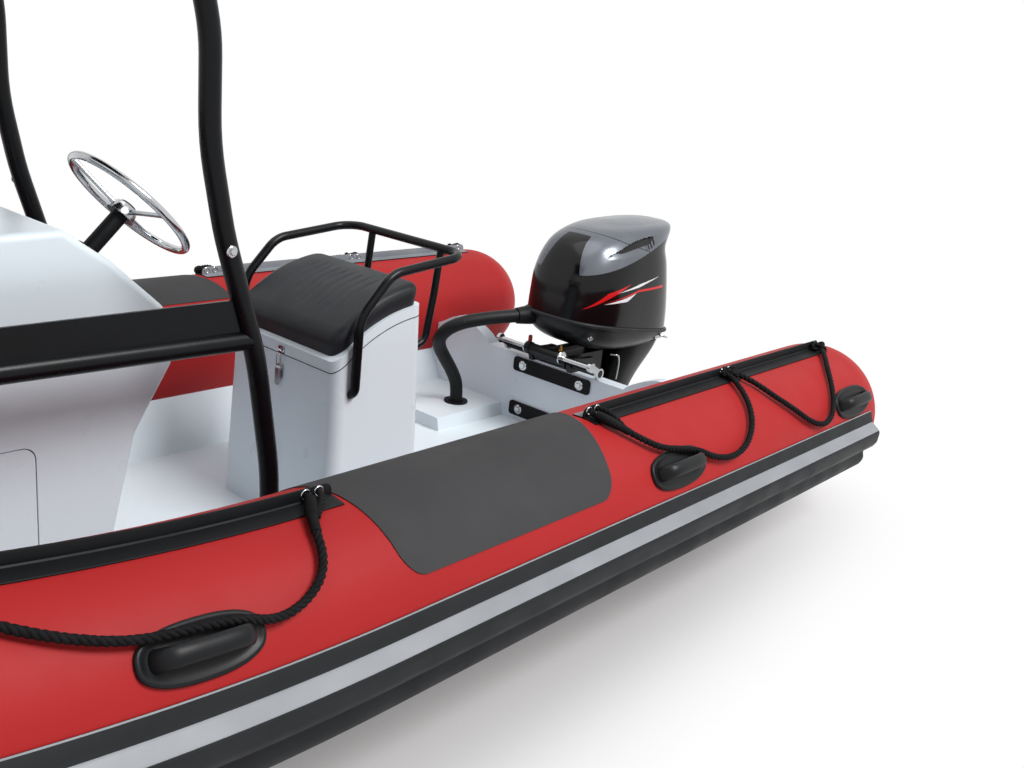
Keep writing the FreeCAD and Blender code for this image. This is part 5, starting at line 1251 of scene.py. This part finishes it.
piece = finished("motor_cover", cover_mesh, cover_paint, body="motor", crease=50)
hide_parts("motor_cowl")

motor_black = finish_of("black motor paint", srgb(14, 15, 17), srgb(10, 11, 13), cloud=5.0, smooth=0.26, rough=0.38,
                        fineness=500.0, depth=0.00003, shine=0.25)
dress(motor_black, "motor_pan", "motor_leg", "motor_lower_unit", "propeller", "clamp_bracket", "swivel_bracket",
      "steering_ram", "tiller_arm")
band_rubber = finish_of("seam band rubber", srgb(34, 35, 38), srgb(27, 28, 31), cloud=7.0, smooth=0.45, rough=0.6,
                        fineness=600.0, depth=0.0001, shine=0.25)
band_ring = bmesh.new()
band_line_points = [oval_point(cover_rows[0], 2 * math.pi * (i + 0.5) / 120, 0.003) for i in range(120)]
tube_along(band_ring, band_line_points + [band_line_points[0]], 0.0085, segments=12, capped=False)
bmesh.ops.remove_doubles(band_ring, verts=band_ring.verts[:], dist=0.0002)
finished("motor_seam_band", band_ring, band_rubber, body="motor", crease=80)
motor_fittings = bmesh.new()
bolt_head(motor_fittings, (-2.176, 0.1612, 0.515), (0.55, 0.83, -0.15), 0.0068)
rounded_plate(motor_fittings, (-2.640, 0.188, 0.468), (0.050, 0.010, 0.016), 0.003)
tube_along(motor_fittings, smooth_line([(-2.655, 0.192, 0.474), (-2.665, 0.205, 0.470), (-2.690, 0.205, 0.462),
                                        (-2.705, 0.196, 0.457)]), 0.005, segments=12)
tube_along(motor_fittings, smooth_line([(-2.400, 0.118, 0.402), (-2.412, 0.140, 0.404), (-2.432, 0.142, 0.396),
                                        (-2.452, 0.133, 0.340), (-2.466, 0.118, 0.280)]), 0.0042, segments=12)
finished("motor_fittings", motor_fittings, steel, body="motor", crease=40)


# Steering: a hydraulic cylinder that slides on a polished rod across the transom, with its end seals and fittings.
# A thin bright link tube lies behind it, and one hose union is brass.
ram_x, ram_z, ram_half = -2.090, 0.424, 0.095
steering_trim = bmesh.new()
for end in (-1, 1):
    turned([(-0.0050, 0.0262), (-0.0050, 0.0274), (-0.0010, 0.0274), (0.0, 0.0264), (0.0006, 0.0264), (0.0006, 0.0112)],
           (ram_x, end * (ram_half + 0.0002), ram_z), (0, end, 0), segments=28, mesh=steering_trim)
finished("ram_end_rings", steering_trim, steel, body="steering_ram", crease=30)
brass = finish_of("brass union", srgb(178, 138, 66), srgb(150, 112, 50), cloud=30.0, smooth=0.25, rough=0.4, fineness=500.0,
                  depth=0.00005, metallic=1.0)
red_cap = finish_of("red vinyl cap", srgb(150, 20, 24), srgb(126, 14, 18), cloud=30.0, smooth=0.35, rough=0.5, fineness=500.0,
                    depth=0.00005)
union = bmesh.new()
turned([(0, 0), (0, 0.0075), (0.012, 0.0075), (0.012, 0.0055), (0.026, 0.0055), (0.026, 0)],
       (ram_x, ram_half - 0.013, ram_z + 0.0255), (0, 0, 1), segments=6, mesh=union)
finished("ram_union_brass", union, brass, body="steering_ram", crease=30)
cap = bmesh.new()
turned([(0, 0), (0, 0.0085), (0.024, 0.0085), (0.028, 0.006), (0.029, 0)], (ram_x, 0.013 - ram_half, ram_z + 0.0255),
       (0, 0, 1), segments=20, mesh=cap)
finished("ram_union_cap", cap, red_cap, body="steering_ram", crease=40)


# Rigging hose: a black ribbed conduit from a flange on the starboard step, up and over to a cuff in the motor's pan.
# It bends as the motor tilts and steers, so its two lengths each bridge one of those joints.
hose_route = ((-1.985, -0.375, 0.1273), (-1.985, -0.375, 0.190), (-1.944, -0.375, 0.262), (-1.880, -0.367, 0.336),
              (-1.822, -0.348, 0.396), (-1.786, -0.316, 0.450), (-1.794, -0.276, 0.496), (-1.840, -0.240, 0.524),
              (-1.904, -0.206, 0.538), (-1.965, -0.174, 0.546), (-2.020, -0.147, 0.551), (-2.068, -0.128, 0.554))
hose_radius = 0.028
hose_black = finish_of("black hose", srgb(20, 22, 24), srgb(15, 16, 18), cloud=9.0, smooth=0.42, rough=0.56, fineness=600.0,
                       depth=0.00008, shine=0.2)
hose_line = evenly(smooth_line([Vector(p) for p in hose_route], 24), 0.004)
hose_split = min(range(len(hose_line)), key=lambda i: (hose_line[i] - Vector(hose_route[7])).length)


def hose_length(name, line, bodies, start, end, over=0):
    mesh = bmesh.new()
    steps = len(line) - 1
    tube_along(mesh, line, lambda t: hose_radius - 0.0011 * (round(t * steps) % 2), segments=28)
    length_piece = finished(name, mesh, hose_black, body=bodies[0], crease=60)
    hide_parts("rigging_hose")
    length_piece.parent = None
    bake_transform(length_piece, bodies[0], bodies[1], start=start, end=end)
    return length_piece


hose_length("rigging_hose_lower", hose_line[:hose_split + 1], ("boat", "tilt_unit"), tuple(hose_line[0]),
            tuple(hose_line[hose_split]))
hose_length("rigging_hose_upper", hose_line[hose_split:], ("tilt_unit", "motor"), tuple(hose_line[hose_split]),
            tuple(hose_line[-1]))
dress(black_plastic, "hose_flange")
cuff = bmesh.new()
cuff_way = hose_line[-1] - hose_line[-4]
turned([(-0.020, 0.0290), (-0.020, 0.0335), (0.010, 0.0370), (0.040, 0.0400), (0.060, 0.0400)], hose_line[-1], cuff_way,
       segments=32, mesh=cuff)
finished("hose_cuff", cuff, hose_black, body="motor", crease=50)
